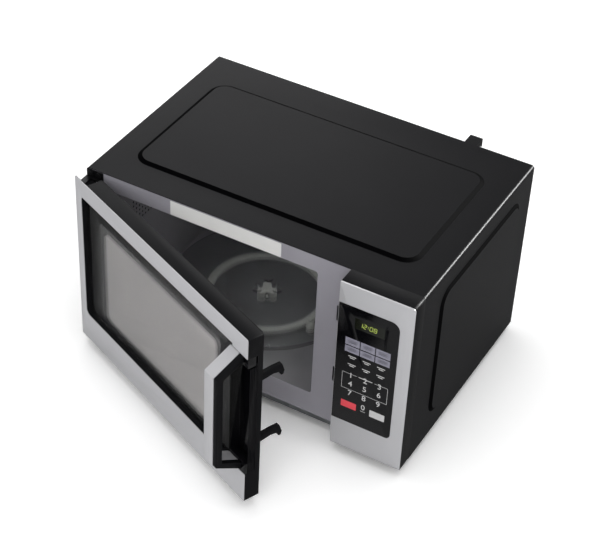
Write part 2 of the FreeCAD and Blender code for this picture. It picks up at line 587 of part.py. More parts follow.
def control_panel():
    front, skin_back = "-panel_depth", "panel_skin_thick - panel_depth"
    across, up = ("panel_left", HALF), ("0", "cabinet_height")
    frame = prism("y", skin_back, 0, pane(across, up, [0, 0, "bend_radius", 0]))
    hollow = box(("panel_left + panel_wall", f"{HALF} - panel_wall"), (f"{skin_back} + panel_wall", 1),
                 ("panel_wall", "cabinet_height - panel_wall"))
    window = box(("display_left - 1", "display_right + 1"), (f"{front} - 1", f"{skin_back} + panel_wall + 1"),
                 ("display_low - 1", "display_high + 1"))
    posts = []
    for x in ("panel_left + 12", f"{HALF} - 12"):
        for z in ("70", "222"):
            posts.append(rod("y", (x, f"{skin_back} + panel_wall - 1", z), "board_gap + 1", 3))
    node("control_panel_frame", fuse(cut(frame, hollow, window), *posts))

    # pressed silver face with a shallow bevel along its right and lower edges
    deep = f"{front} + bevel_deep"
    edge = loft("y", deep, front, pane(across, up, [0.5, 0.5, "bend_radius", 0.5]),
                pane(("panel_left", f"{HALF} - bevel_right"), ("bevel_low", "cabinet_height"),
                     [0.5, "plateau_radius", 2, 0.5]))
    back = prism("y", deep, skin_back, pane(across, up, [0.5, 0.5, "bend_radius", 0.5]))
    hole = box(("display_left - 1", "display_right + 1"), (f"{front} - 1", f"{skin_back} + 1"),
               ("display_low - 1", "display_high + 1"))
    node("panel_skin", cut(fuse(edge, back), hole))

    film = prism("y", f"{front} - keypad_thick", front,
                 pane(("keypad_left", "keypad_right"), ("keypad_low", "keypad_high"),
                      [0, "keypad_low_radius", "keypad_top_radius", 0]),
                 pane(("display_left", "display_right"), ("display_low", "display_high"), 0.5))
    node("keypad_film", film)
    node("display_lens", prism("y", f"{front} - keypad_thick", front,
                               pane(("display_left + 0.1", "display_right - 0.1"),
                                    ("display_low + 0.1", "display_high - 0.1"), 0.5)))
    board = f"{skin_back} + panel_wall + board_gap"
    node("display_module", box(("display_left - 0.5", "display_right + 0.5"), (f"{front} + 0.6", board),
                               ("display_low - 0.5", "display_high + 0.5")))
    node("control_board", box(("panel_left + 7", f"{HALF} - 6"), (board, f"{board} + board_thick"), (60, 232)))
    rear = f"{board} + board_thick"
    relays = [box((160 + 22 * i, 178 + 22 * i), (rear, f"{rear} + 14"), (180, 200)) for i in range(3)]
    low_voltage = box((162, 200), (rear, f"{rear} + 24"), (76, 112))
    sounder = rod("y", (215, rear, 95), 8, 9)
    sockets = [box((160 + 26 * i, 180 + 26 * i), (rear, f"{rear} + 9"), (214, 222)) for i in range(2)]
    cans = [rod("y", (168 + 16 * i, rear, 150), 18, 6) for i in range(3)]
    node("board_components", group(*relays, low_voltage, sounder, *sockets, *cans))


# ---- door ---------------------------------------------------------------------------------------

def door_low_and_high():
    return ("door_low", "cabinet_height")


def door_frame():
    """Black moulded frame: glass pocket in front, hollow behind, notch for the upper hinge."""
    up = door_low_and_high()
    face = "door_thick - skin_thick"
    glass_back = "door_thick - glass_sink - glass_thick"
    rail = "frame_wall"
    body = door_prism(("frame_rear", face), pane((door_x(0), door_x("door_width")), up, 1.5))
    pocket = door_prism((glass_back, f"{face} + 1"),
                        pane((door_x("skin_left"), door_x("grip_left")), ("skin_low", "skin_high"), [8, 3, 3, 4.5]))
    back = (door_x("skin_left + 6"), door_x("grip_left - 8"))
    hollow = door_prism(("frame_rear - 1", f"{glass_back} - {rail}"), pane(back, ("18", "cabinet_height - 24"), 6))
    light = door_prism(("frame_rear - 1", f"{glass_back} + 1"),
                       pane((door_x("window_left - 10"), door_x("window_right + 10")),
                            ("window_low - 6", "window_high + 10"), 6))
    cup = door_box(("grip_left", "door_width + 1"), ("cup_w", f"{face} + 1"), ("cup_low", "cup_high"))
    latch = door_box(("hook_u - 1.5", "hook_u + hook_thick + 1.5"), ("frame_rear - 1", "cup_w - cup_wall"),
                     ("lower_hook - 12", "upper_hook + hook_height + 14"))
    notch = door_box(("-1", "notch_u"), ("frame_rear - 1", "notch_w"),
                     ("cabinet_height - notch_height", "cabinet_height + 1"))
    bores = [rod("z", (PIVOT_X, PIVOT_Y, "cabinet_height - notch_height - 11.5"), "13", "pin_radius + bore_gap"),
             rod("z", (PIVOT_X, PIVOT_Y, "door_low - 1"), "13.5", "pin_radius + bore_gap")]
    node("door_frame", cut(body, pocket, hollow, light, cup, latch, notch, *bores), door=True)


def door_skin():
    """Silver face sheet, open around the glass and beside the grip."""
    face = "door_thick - skin_thick"
    sheet_metal = door_prism((face, "door_thick"),
                             pane((door_x(0), door_x("door_width")), door_low_and_high(), 2),
                             pane((door_x("skin_left"), door_x("grip_left + 4")), ("skin_low", "skin_high"),
                                  [8, 0.5, 0.5, 4.5]))
    recess = door_box(("grip_left", "door_width + 1"), (f"{face} - 1", "door_thick + 1"), ("cup_low", "cup_high"))
    node("door_skin", cut(sheet_metal, recess), door=True)


def door_panes():
    front = "door_thick - glass_sink"
    glass = door_prism((f"{front} - glass_thick", front),
                       pane((door_x("skin_left + glass_fit"), door_x("grip_left - glass_fit")),
                            ("skin_low + glass_fit", "skin_high - glass_fit"), [7.6, 2.6, 2.6, 4.1]))
    node("door_glass", glass, door=True)
    across = (door_x("skin_left + 6.3"), door_x("grip_left - 8.3"))
    up = ("18.3", "cabinet_height - 24.3")
    seat = "door_thick - glass_sink - glass_thick - frame_wall"
    screen = door_prism((f"{seat} - screen_thick", seat), pane(across, up, 5.7))
    node("screen_plate", screen, door=True)
    film = door_prism(("frame_rear", "frame_rear + film_thick"), pane(across, up, 5.7))
    node("inner_window", film, door=True)


def choke_cover():
    """Rear cover over the choke channel: a ring round the inner window, slotted for the hooks."""
    ring = door_prism((0, "frame_rear"),
                      pane((door_x(2), door_x("door_width - 3")), ("door_low + 2", "cabinet_height - 1"), 3),
                      pane((door_x("window_left - 16"), door_x("window_right + 16")),
                           ("window_low - 12", "window_high + 16"), 8))
    notch = door_box((0, "notch_u + 0.5"), (-1, "frame_rear + 1"),
                     ("cabinet_height - notch_height - 0.5", "cabinet_height + 1"))
    slots = [door_box(("hook_u - 1.5", "hook_u + hook_thick + 1.5"), (-1, "frame_rear + 1"),
                      (f"{z} - nose_drop - 2", f"{z} + hook_height + hook_lift + 2")) for z in ("upper_hook", "lower_hook")]
    node("choke_cover", cut(ring, notch, *slots), door=True)


def handle():
    """Silver grip standing off the door on two slopes, and the black cup behind it."""
    front = "door_thick + grip_reach"
    inside = f"{front} - grip_wall"

    def w(depth):
        return door_y(depth)

    profile = polygon((w("door_thick"), "grip_low"), (w("door_thick"), "grip_low + grip_wall * 1.15"),
                      (w(inside), "grip_low_bend + grip_wall * 0.4"), (w(inside), "grip_high_bend - grip_wall * 0.4"),
                      (w("door_thick"), "grip_high - grip_wall * 1.15"), (w("door_thick"), "grip_high"),
                      (w(front), "grip_high_bend"), (w(front), "grip_low_bend"))
    bar = prism("x", door_x("grip_left"), door_x("grip_left + grip_width"), profile)
    pads = [door_box(("grip_left + 0.4", "grip_left + grip_width"), ("door_thick - skin_thick - 6", "door_thick"),
                     (z, f"{z} + 9")) for z in ("grip_low", "grip_high - 9")]
    node("handle_grip", fuse(bar, *pads), door=True)

    rim = "door_thick - skin_thick"
    outside = door_box(("grip_left", "door_width"), ("cup_w", rim), ("cup_low", "cup_high"))
    inside = door_box(("grip_left + cup_wall", "door_width + 1"), ("cup_w + cup_wall", f"{rim} + 1"),
                      ("cup_low + cup_wall", "cup_high - cup_wall"))
    seats = [door_box(("grip_left + 0.1", "grip_left + grip_width + 0.3"), (f"{rim} - 6.3", f"{rim} + 1"),
                      (f"{z} - 0.3", f"{z} + 9.3")) for z in ("grip_low", "grip_high - 9")]
    blocks = [door_box(("grip_left", "door_width"), (f"{rim} - 12", rim), span)
              for span in (("cup_low", "grip_low + 14"), ("grip_high - 14", "cup_high"))]
    node("handle_cup", cut(fuse(cut(outside, inside), *blocks), *seats), door=True)


def latch():
    """The sprung hook bar: two hooks that reach through the front plate."""
    across = ("hook_u", "hook_u + hook_thick")
    low, high = "lower_hook - 4", "upper_hook + hook_height + 4"
    bar = door_box(across, ("hook_bar_w", "hook_bar_w + hook_bar_thick"), (low, high))
    hooks = []
    for z in ("upper_hook", "lower_hook"):
        top = f"{z} + hook_height"
        side = polygon((door_y("hook_bar_w + 1"), z), (door_y("hook_bar_w + 1"), top), (door_y("-18"), f"{top} + 2"),
                       (door_y("-hook_reach + 4"), f"{top} + 2"), (door_y("-hook_reach"), f"{z} + 2"),
                       (door_y("-hook_reach + 1.5"), f"{z} - nose_drop"), (door_y("-hook_reach + 5"), f"{z} - nose_drop"),
                       (door_y("-hook_reach + 6"), f"{z} + 2"), (door_y("-18"), f"{z} + 3.5"))
        hooks.append(prism("x", door_x(across[0]), door_x(across[1]), side))
    node("latch_hooks", fuse(bar, *hooks), door=True)
    spring = rod("z", (door_x("hook_u + hook_thick / 2"), door_y("hook_bar_w + hook_bar_thick / 2"),
                       f"{high} + run_gap"), "9", "1.6")
    core = rod("z", (door_x("hook_u + hook_thick / 2"), door_y("hook_bar_w + hook_bar_thick / 2"), f"{high}"), "12", "1")
    node("latch_spring", cut(spring, core), door=True)


# ---- latch catches and switches in the cabinet --------------------------------------------------

def interlock():
    """Carrier beside the latch slots, with a catch ledge under each hook and three switches."""
    left, right = "slot_x - 1", "slot_x + slot_width + 2"
    plate = (right, f"{right} + 2.2")
    rear = "hook_reach + 26"
    parts = [box(plate, ("wall", rear), (60, 218))]
    parts += [box((left, f"{right} + 1"), ("wall", "wall + 2.5"), span)
              for span in ((60, 72), (120, 160), (208, 218))]
    for z in ("upper_hook", "lower_hook"):
        parts.append(box((left, f"{right} + 1"), (14, 28), (f"{z} - nose_drop - 6", f"{z} - nose_drop - 0.5")))
    node("interlock_bracket", fuse(*parts))
    tip = "hook_reach - door_gap"
    switch_front = f"{tip} + switch_gap + 3"
    bodies, plungers = [], []
    for z in ("upper_hook - 6", "lower_hook - 12", "lower_hook + 22"):
        body = box(("slot_x + 1", right), (switch_front, f"{switch_front} + 16"), (z, f"{z} + 27"))
        centre = ("slot_x + slot_width / 2", f"{switch_front} - 1", f"{z} + 9")
        bodies.append(cut(body, rod("y", centre, "7", "1.6")))
        start = (centre[0], f"{switch_front} - 3", centre[2])
        plungers.append(rod("y", start, "5", "1.52"))
    node("interlock_switches", group(*bodies))
    for i, plunger in enumerate(plungers, start=1):
        node(f"switch_plunger_{i}", plunger)


# ---- machine compartment ------------------------------------------------------------------------

def microwave_source():
    far = f"{SIDE} + guide_depth"
    y = ("guide_y", "guide_y + guide_length")
    z = ("guide_z", "guide_z + guide_height")
    outer = box((SIDE, far), y, z)
    inner = box((f"{SIDE} - 1", f"{far} - guide_wall"), (f"{y[0]} + guide_wall", f"{y[1]} - guide_wall"),
                (f"{z[0]} + guide_wall", f"{z[1]} - guide_wall"))
    mid_y, mid_z = "(guide_y + guide_length / 2)", "(guide_z + guide_height / 2)"
    hole = rod("x", (f"{far} - 3", mid_y, mid_z), 5, "antenna_radius + 2")
    node("waveguide", cut(outer, inner, hole))

    # magnetron: a yoke open front and back, with the finned anode inside
    end = f"{far} + yoke_length"
    ring = prism("y", f"{mid_y} - yoke_width / 2", f"{mid_y} + yoke_width / 2",
                 pane((far, end), (f"{mid_z} - yoke_height / 2", f"{mid_z} + yoke_height / 2"), 2),
                 pane((f"{far} + yoke_wall", f"{end} - yoke_wall"),
                      (f"{mid_z} - yoke_height / 2 + yoke_wall", f"{mid_z} + yoke_height / 2 - yoke_wall"), 1))
    mouth = rod("x", (f"{far} - 1", mid_y, mid_z), "yoke_wall + 2", "antenna_radius + 0.3")
    node("magnetron_yoke", cut(ring, mouth))
    inside = "yoke_length - 2 * yoke_wall"
    anode = rod("x", (f"{far} + yoke_wall", mid_y, mid_z), inside, "anode_radius")
    fins = [box((f"{far} + yoke_wall + {8 + 8 * i}", f"{far} + yoke_wall + {8 + 8 * i} + fin_thick"),
                (f"{mid_y} - yoke_width / 2 + 1", f"{mid_y} + yoke_width / 2 - 1"),
                (f"{mid_z} - yoke_height / 2 + yoke_wall + 0.3", f"{mid_z} + yoke_height / 2 - yoke_wall - 0.3"))
            for i in range(5)]
    antenna = rod("x", (f"{far} + yoke_wall - 22", mid_y, mid_z), 23, "antenna_radius")
    node("magnetron_anode", fuse(anode, antenna, *fins))
    node("magnetron_filter_box", box((end, f"{end} + 22"), (f"{mid_y} - 28", f"{mid_y} + 28"),
                                     (f"{mid_z} - 30", f"{mid_z} + 30")))


def transformer():
    right, back = "core_x + core_length", "core_y + core_width"
    base = ("wall", "wall + 3")
    low, high = "wall + 3", "wall + 3 + core_height"
    foot = box(("core_x - 5", f"{right} + 5"), ("core_y - 5", f"{back} + 5"), base)
    block = box(("core_x", right), ("core_y", back), (low, high))
    middle = "(core_x + core_length / 2)"
    gaps = [box((f"{middle} + {s} * core_leg", f"{middle} + {s} * (core_length / 2 - core_leg)"),
                ("core_y - 1", f"{back} + 1"), (f"{low} + core_leg", f"{high} - core_leg")) for s in (1,)]
    gaps += [box((f"{middle} - core_length / 2 + core_leg", f"{middle} - core_leg"),
                 ("core_y - 1", f"{back} + 1"), (f"{low} + core_leg", f"{high} - core_leg"))]
    node("transformer_core", cut(fuse(foot, block), *gaps))
    coils = []
    reach = "core_length / 2 - core_leg - coil_fit"
    for span in ((f"{low} + core_leg + coil_fit", f"{low} + core_height / 2 - 1"),
                 (f"{low} + core_height / 2 + 1", f"{high} - core_leg - coil_fit")):
        coils.append(prism("z", span[0], span[1],
                           pane((f"{middle} - ({reach})", f"{middle} + {reach}"),
                                ("core_y - coil_reach", f"{back} + coil_reach"), 12),
                           pane((f"{middle} - core_leg - coil_fit", f"{middle} + core_leg + coil_fit"),
                                ("core_y - coil_fit", f"{back} + coil_fit"))))
    node("transformer_windings", group(*coils))


def capacitor():
    low, high = "wall + strap + coil_fit", "wall + strap + coil_fit + can_height"
    front, back = "can_y", "can_y + can_width"
    start, end = "core_x", "core_x + can_length"
    can = prism("x", start, end, pane((front, back), (low, high), "can_width / 2 - 2"))
    tabs = [box((end, f"{end} + 8"), (f"can_y + {y}", f"can_y + {y} + 6.3"), (f"{low} + 25", f"{low} + 25.8"))
            for y in (6, 21)]
    node("hv_capacitor", fuse(can, *tabs))
    gap = "coil_fit"
    loop = prism("x", f"{start} + 34", f"{start} + 54",
                 pane((f"{front} - {gap} - strap", f"{back} + {gap} + strap"), ("wall", f"{high} + {gap} + strap"),
                      "can_width / 2"),
                 pane((f"{front} - {gap}", f"{back} + {gap}"), ("wall + strap", f"{high} + {gap}"),
                      "can_width / 2 - strap"))
    foot = box((f"{start} + 34", f"{start} + 54"), (f"{back} + 2", f"{back} + 18"), ("wall", "wall + strap"))
    bridge = box((f"{start} + 34", f"{start} + 54"), (f"{front} + can_width / 2", f"{back} + 3"),
                 ("wall", "wall + strap"))
    node("capacitor_clamp", fuse(loop, foot, bridge))
    axis_z = f"{high} + coil_fit + 3.5"
    mid = "can_y + can_width / 2"
    diode = [rod("x", (f"{start} + 62", mid, axis_z), 20, 3.5), rod("x", (f"{start} + 56", mid, axis_z), 34, 0.6)]
    node("hv_diode", fuse(*diode))


def cooling_fan():
    centre = ("fan_x", "fan_z")
    front = f"{SHROUD_BACK} - ring_length"
    tube = prism("y", front, SHROUD_BACK, disc(*centre, "ring_bore + ring_wall"), disc(*centre, "ring_bore"))
    side = "(ring_bore + ring_wall + 3)"
    plate = prism("y", f"{SHROUD_BACK} - 2", SHROUD_BACK,
                  pane((f"fan_x - {side}", f"fan_x + {side}"), (f"fan_z - {side}", f"fan_z + {side}"), 6),
                  disc(*centre, "ring_bore"))
    bridge = box(("fan_x - 9", "fan_x + 9"), (f"{front} - 2.5", front),
                 ("fan_z - ring_bore - ring_wall", "fan_z + ring_bore + ring_wall"))
    hole = rod("y", ("fan_x", f"{front} - 4", "fan_z"), 6, "fan_shaft + 1.2")
    node("fan_shroud", cut(fuse(tube, plate, bridge), hole))

    motor_back = f"{front} - 2.5"
    stack = box(("fan_x - 26", "fan_x + 26"), (f"{motor_back} - 20", f"{motor_back} - 4"), ("fan_z - 22", "fan_z + 22"))
    cap = rod("y", ("fan_x", f"{motor_back} - 24", "fan_z"), 24, 11)
    shaft = rod("y", ("fan_x", f"{motor_back} - 26", "fan_z"), "26 + 2.5 + 6 + fan_width / 2", "fan_shaft")
    node("fan_motor", fuse(stack, cap, shaft))

    # seven blades, each set at a pitch across the hub's width
    start = f"{front} + 6"
    hub = rod("y", ("fan_x", start, "fan_z"), "fan_width", "fan_hub")
    blades = []
    for i in range(7):
        blade = doc.addObject("Part::Box", unique("blade"))
        blade.setExpression("Length", tied("fan_radius - fan_hub + 3"))
        blade.Width = 1.4
        blade.setExpression("Height", tied("fan_width * 1.2"))
        turn = FreeCAD.Rotation(Y, 360 / 7 * i) * FreeCAD.Rotation(X, 50)
        out = turn.multVec(FreeCAD.Vector(1, 0, 0))
        back = turn.multVec(FreeCAD.Vector(0, 0.7, 0)) + turn.multVec(FreeCAD.Vector(0, 0, 1)) * worth("fan_width * 0.6")
        shift(blade, f"fan_x + {out.x:.6f} * (fan_hub - 3) - {back.x:.6f}",
              f"{start} + fan_width / 2 + {out.y:.6f} * (fan_hub - 3) - {back.y:.6f}",
              f"fan_z + {out.z:.6f} * (fan_hub - 3) - {back.z:.6f}", turn=turn)
        blades.append(blade)
    bore = rod("y", ("fan_x", f"{start} - 1", "fan_z"), "fan_width + 2", "fan_shaft + bore_gap")
    node("fan_blade", cut(fuse(hub, *blades), bore))


def lamp():
    """Cavity lamp against the vented patch of the right wall."""
    x, y = f"{SIDE} + 14", 240
    shelf = box((SIDE, f"{x} + 12"), (f"{y} - 12", f"{y} + 12"), (236, 238))
    plate = box((SIDE, f"{SIDE} + 1.2"), (f"{y} - 12", f"{y} + 12"), (232, 240))
    socket = rod("z", (x, y, 224), 14, 9)
    node("lamp_holder", fuse(shelf, plate, socket))
    bulb = rod("z", (x, y, 202), 22, 10)
    round_end = doc.addObject("Part::Sphere", unique("bulb"))
    round_end.Radius = 10
    shift(round_end, x, y, 202)
    node("lamp_bulb", fuse(bulb, round_end))


for build in (outer_cabinet, base_plate, rear_panel, front_plate, feet, wall_spacer, cord_gland, cabinet_screws,
              cavity, turntable, hinges, control_panel, door_frame, door_skin, door_panes, choke_cover, handle,
              latch, interlock, microwave_source, transformer, capacitor, cooling_fan, lamp):
    build()

doc.recompute()
for obj in doc.Objects:
    if "Invalid" in obj.State or "Error" in obj.State:
        raise RuntimeError(f"{obj.Label} did not compute: {obj.State}")
for name, obj in nodes.items():
    if obj.Shape.isNull() or not obj.Shape.isValid() or not obj.Shape.Solids:
        raise RuntimeError(f"{name} has no sound shape")

os.makedirs("parts", exist_ok=True)
for name, obj in nodes.items():
    obj.Shape.exportStep(f"parts/{name}.step")
print(len(nodes), "nodes")
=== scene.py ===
import json
import math
import bmesh
import bpy
from mathutils import Matrix, Vector


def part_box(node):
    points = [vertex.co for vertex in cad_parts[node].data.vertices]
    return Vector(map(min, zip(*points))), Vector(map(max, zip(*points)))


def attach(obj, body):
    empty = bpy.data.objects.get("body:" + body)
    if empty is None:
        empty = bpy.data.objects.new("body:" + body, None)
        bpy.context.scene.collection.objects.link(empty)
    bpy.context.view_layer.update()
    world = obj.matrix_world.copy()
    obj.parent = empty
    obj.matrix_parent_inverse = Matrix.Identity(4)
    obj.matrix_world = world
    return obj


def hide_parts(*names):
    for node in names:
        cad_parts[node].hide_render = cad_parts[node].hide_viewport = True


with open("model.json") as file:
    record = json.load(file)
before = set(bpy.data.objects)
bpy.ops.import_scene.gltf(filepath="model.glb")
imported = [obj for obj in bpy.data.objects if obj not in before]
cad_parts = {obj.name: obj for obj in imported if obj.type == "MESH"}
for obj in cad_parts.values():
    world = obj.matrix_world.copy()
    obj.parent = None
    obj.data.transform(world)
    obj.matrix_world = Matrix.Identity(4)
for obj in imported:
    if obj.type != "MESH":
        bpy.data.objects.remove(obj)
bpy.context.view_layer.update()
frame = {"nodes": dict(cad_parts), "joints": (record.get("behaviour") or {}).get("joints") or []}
nodes = frame["nodes"]
mm = 0.001
print("frame loaded:", len(nodes), "CAD nodes")


# ---------- helpers ----------

def linear(code):  # sRGB hex to linear RGBA
    channels = [int(code[i:i + 2], 16) / 255 for i in (1, 3, 5)]
    return [c / 12.92 if c <= 0.04045 else ((c + 0.055) / 1.055) ** 2.4 for c in channels] + [1.0]


def addNode(tree, kind, settings={}, inputs={}):  # a socket given as an input is linked, a value is set
    node = tree.nodes.new(kind)
    for name, value in settings.items():
        setattr(node, name, value)
    for name, value in inputs.items():
        if isinstance(value, bpy.types.NodeSocket):
            tree.links.new(value, node.inputs[name])
        else:
            node.inputs[name].default_value = value
    return node


def emptyMaterial(name):
    material = bpy.data.materials.new(name)
    material.use_nodes = True
    tree = material.node_tree
    tree.nodes.clear()
    shader = addNode(tree, "ShaderNodeBsdfPrincipled")
    addNode(tree, "ShaderNodeOutputMaterial", inputs={"Surface": shader.outputs[0]})
    place = addNode(tree, "ShaderNodeTexCoord").outputs["Object"]
    return material, tree, shader, place


def perMetre(size):  # texture scale for a pattern of this size in mm
    return 1000 / size


def pointNode(tree, place, stretch):  # the pattern squeezed along an axis, for brushing and layers
    return addNode(tree, "ShaderNodeMapping", inputs={"Vector": place, "Scale": stretch}).outputs[0]


# name: two colours it drifts between, roughness from and to, metallic, IOR,
# patch = size of its slow colour drift and grain = size of its fine texture, in mm, relief = height of that texture in mm
finishes = {
    # powder-coated steel, satin: a faint orange peel breaks up the reflections
    "blackPowderCoat": dict(colours=("#141416", "#1a1a1c"), rough=(0.36, 0.42), ior=1.14, patch=90, grain=1.1, relief=0.006),
    # ABS moulded against a spark-eroded tool: an even matt grain
    "blackMouldedAbs": dict(colours=("#101012", "#161618"), rough=(0.42, 0.50), ior=1.15, patch=60, grain=0.7, relief=0.012),
    # ABS moulded against a polished tool: nearly wet-looking
    "blackPolishedAbs": dict(colours=("#08080a", "#0d0d10"), rough=(0.14, 0.18), ior=1.42, patch=50, grain=4, relief=0.001),
    # painted shade: a near-black, duller copy of the black finish, laid on the sloping steps round the wrap's pressed
    # panels to stand in for the shade that falls there
    "blackPaintedStepShade": dict(colours=("#020203", "#050506"), rough=(0.60, 0.70), ior=1.06, patch=40, grain=0.9, relief=0.004),
    # screen-printed polycarbonate film: smooth gloss over black ink
    "blackKeypadFilm": dict(colours=("#050507", "#0a0a0d"), rough=(0.14, 0.20), ior=1.5, patch=40, grain=2.5, relief=0.003),
    # silver flake lacquer sprayed on ABS: tiny flakes glitter in a grey coat
    "silverLacquer": dict(colours=("#c4c4c7", "#cdcdd0"), rough=(0.34, 0.42), metallic=0.3, patch=70, grain=0.35, relief=0.005),
    # enamelled steel front: smooth grey paint with a slight mottle
    "greyEnamel": dict(colours=("#96949c", "#9f9da5"), rough=(0.28, 0.36), ior=1.5, patch=45, grain=1.4, relief=0.006),
    # the same enamel inside the oven as a darker copy: its darker colour is painted shade for the inside of the oven,
    # and it is a little duller
    "cavityEnamelPaintedShade": dict(colours=("#77767a", "#838286"), rough=(0.30, 0.40), ior=1.5, patch=28, grain=1.0, relief=0.010),
    # polypropylene, moulded: milky and slightly waxy
    "whitePolypropylene": dict(colours=("#d9d9d6", "#e6e6e3"), rough=(0.34, 0.44), ior=1.49, patch=18, grain=0.8, relief=0.008),
    # zinc-plated steel, pressed: a cool grey with a fine passivated bloom
    "zincPlate": dict(colours=("#8f9295", "#a6a9ab"), rough=(0.30, 0.45), metallic=1, patch=9, grain=0.5, relief=0.006),
    # black-oxide steel: dark, oily metal
    "blackOxideSteel": dict(colours=("#1c1c1e", "#29292b"), rough=(0.36, 0.48), metallic=0.7, patch=12, grain=0.6, relief=0.006),
    # rolled aluminium fin stock: bright with fine rolling marks
    "aluminiumFinStock": dict(colours=("#b4b6b8", "#c6c8ca"), rough=(0.22, 0.34), metallic=1, patch=14, grain=0.4, relief=0.004, stretch=(1, 9, 1)),
    # deep-drawn aluminium can: soft lengthwise draw marks
    "aluminiumCan": dict(colours=("#a4a6a8", "#b9bbbd"), rough=(0.26, 0.38), metallic=1, patch=20, grain=0.5, relief=0.004, stretch=(0.15, 1, 1)),
    # fluxed mica sheet: pale flakes pressed flat
    "micaSheet": dict(colours=("#a8987c", "#cabb98"), rough=(0.30, 0.50), ior=1.58, patch=5, grain=1.2, relief=0.02),
    # epoxy-glass board with a green solder mask
    "circuitBoard": dict(colours=("#17462a", "#226238"), rough=(0.28, 0.40), ior=1.55, patch=6, grain=1.6, relief=0.02),
    # vinyl sheet with a matt laminate, left plain
    "whiteVinyl": dict(colours=("#e4e4e2", "#eeeeec"), rough=(0.42, 0.52), ior=1.46, patch=22, grain=0.9, relief=0.006),
    # screen-printed inks: flat, slightly chalky
    "whiteInk": dict(colours=("#bcbcbc", "#cccccc"), rough=(0.45, 0.55), ior=1.46, patch=6, grain=0.5, relief=0.002),
    "lavenderInk": dict(colours=("#83828f", "#918f9e"), rough=(0.45, 0.55), ior=1.46, patch=9, grain=0.5, relief=0.002),
    "redInk": dict(colours=("#d93f4c", "#e8505b"), rough=(0.42, 0.52), ior=1.46, patch=8, grain=0.5, relief=0.002),
    # black ceramic frit fired on the glass: dense and glossy
    "blackFrit": dict(colours=("#0b0b0e", "#111114"), rough=(0.30, 0.36), ior=1.3, patch=35, grain=3, relief=0.003),
    # tinned steel foil, etched with holes: pale, slightly warm satin
    "tinnedFoil": dict(colours=("#d0cccb", "#dedad9"), rough=(0.50, 0.60), metallic=0.1, patch=40, grain=0.6, relief=0.004),
    # vulcanised rubber: dull and dusty
    "blackRubber": dict(colours=("#131313", "#1d1d1c"), rough=(0.60, 0.75), ior=1.5, patch=10, grain=0.8, relief=0.02),
    # display window: tinted polycarbonate over a dark reflector
    "displayTint": dict(colours=("#0c0f06", "#11150a"), rough=(0.12, 0.18), ior=1.58, patch=12, grain=2, relief=0.002),
}


def sprayedOrMoulded(name, colours, rough, metallic=0, ior=None, patch=50, grain=1, relief=0.01, stretch=(1, 1, 1)):
    material, tree, shader, place = emptyMaterial(name)
    place = pointNode(tree, place, stretch)
    drift = addNode(tree, "ShaderNodeTexNoise", inputs={"Vector": place, "Scale": perMetre(patch), "Detail": 3.0})
    fine = addNode(tree, "ShaderNodeTexNoise", inputs={"Vector": place, "Scale": perMetre(grain), "Detail": 2.0})
    tint = addNode(tree, "ShaderNodeMix", {"data_type": "RGBA"},
                   {"Factor": drift.outputs[0], "A": linear(colours[0]), "B": linear(colours[1])})
    gloss = addNode(tree, "ShaderNodeMapRange", inputs={"Value": fine.outputs[0], "From Min": 0.3, "From Max": 0.7,
                                                        "To Min": rough[0], "To Max": rough[1]})
    bump = addNode(tree, "ShaderNodeBump", inputs={"Height": fine.outputs[0], "Distance": relief * mm, "Strength": 0.6})
    tree.links.new(tint.outputs["Result"], shader.inputs["Base Color"])
    tree.links.new(gloss.outputs[0], shader.inputs["Roughness"])
    tree.links.new(bump.outputs[0], shader.inputs["Normal"])
    shader.inputs["Metallic"].default_value = metallic
    if ior:
        shader.inputs["IOR"].default_value = ior
    return material


materials = {name: sprayedOrMoulded(name, **finish) for name, finish in finishes.items()}


def galvanisedSheet():  # hot-dip zinc: grey metal whose crystals, about 9 mm, each catch the light a little differently
    material, tree, shader, place = emptyMaterial("galvanisedSheet")
    crystal = addNode(tree, "ShaderNodeTexVoronoi", inputs={"Vector": place, "Scale": perMetre(9)})
    shade = addNode(tree, "ShaderNodeSeparateColor", inputs={"Color": crystal.outputs["Color"]})
    tint = addNode(tree, "ShaderNodeMix", {"data_type": "RGBA"},
                   {"Factor": shade.outputs[0], "A": linear("#989c9f"), "B": linear("#b4b8ba")})
    gloss = addNode(tree, "ShaderNodeMapRange", inputs={"Value": shade.outputs[1], "To Min": 0.34, "To Max": 0.5})
    tree.links.new(tint.outputs["Result"], shader.inputs["Base Color"])
    tree.links.new(gloss.outputs[0], shader.inputs["Roughness"])
    shader.inputs["Metallic"].default_value = 1
    return material


def banded(name, colours, pitch, axis, metallic, rough, depth):  # stacked sheets or wound wire, pitch in mm
    material, tree, shader, place = emptyMaterial(name)
    band = addNode(tree, "ShaderNodeTexWave", {"bands_direction": axis, "wave_profile": "SIN"},
                   {"Vector": place, "Scale": perMetre(pitch) / 20, "Distortion": 0.4, "Detail": 1.0})
    tint = addNode(tree, "ShaderNodeMix", {"data_type": "RGBA"},
                   {"Factor": band.outputs["Fac"], "A": linear(colours[0]), "B": linear(colours[1])})
    bump = addNode(tree, "ShaderNodeBump", inputs={"Height": band.outputs["Fac"], "Distance": depth * mm, "Strength": 0.8})
    tree.links.new(tint.outputs["Result"], shader.inputs["Base Color"])
    tree.links.new(bump.outputs[0], shader.inputs["Normal"])
    shader.inputs["Roughness"].default_value = rough
    shader.inputs["Metallic"].default_value = metallic
    return material


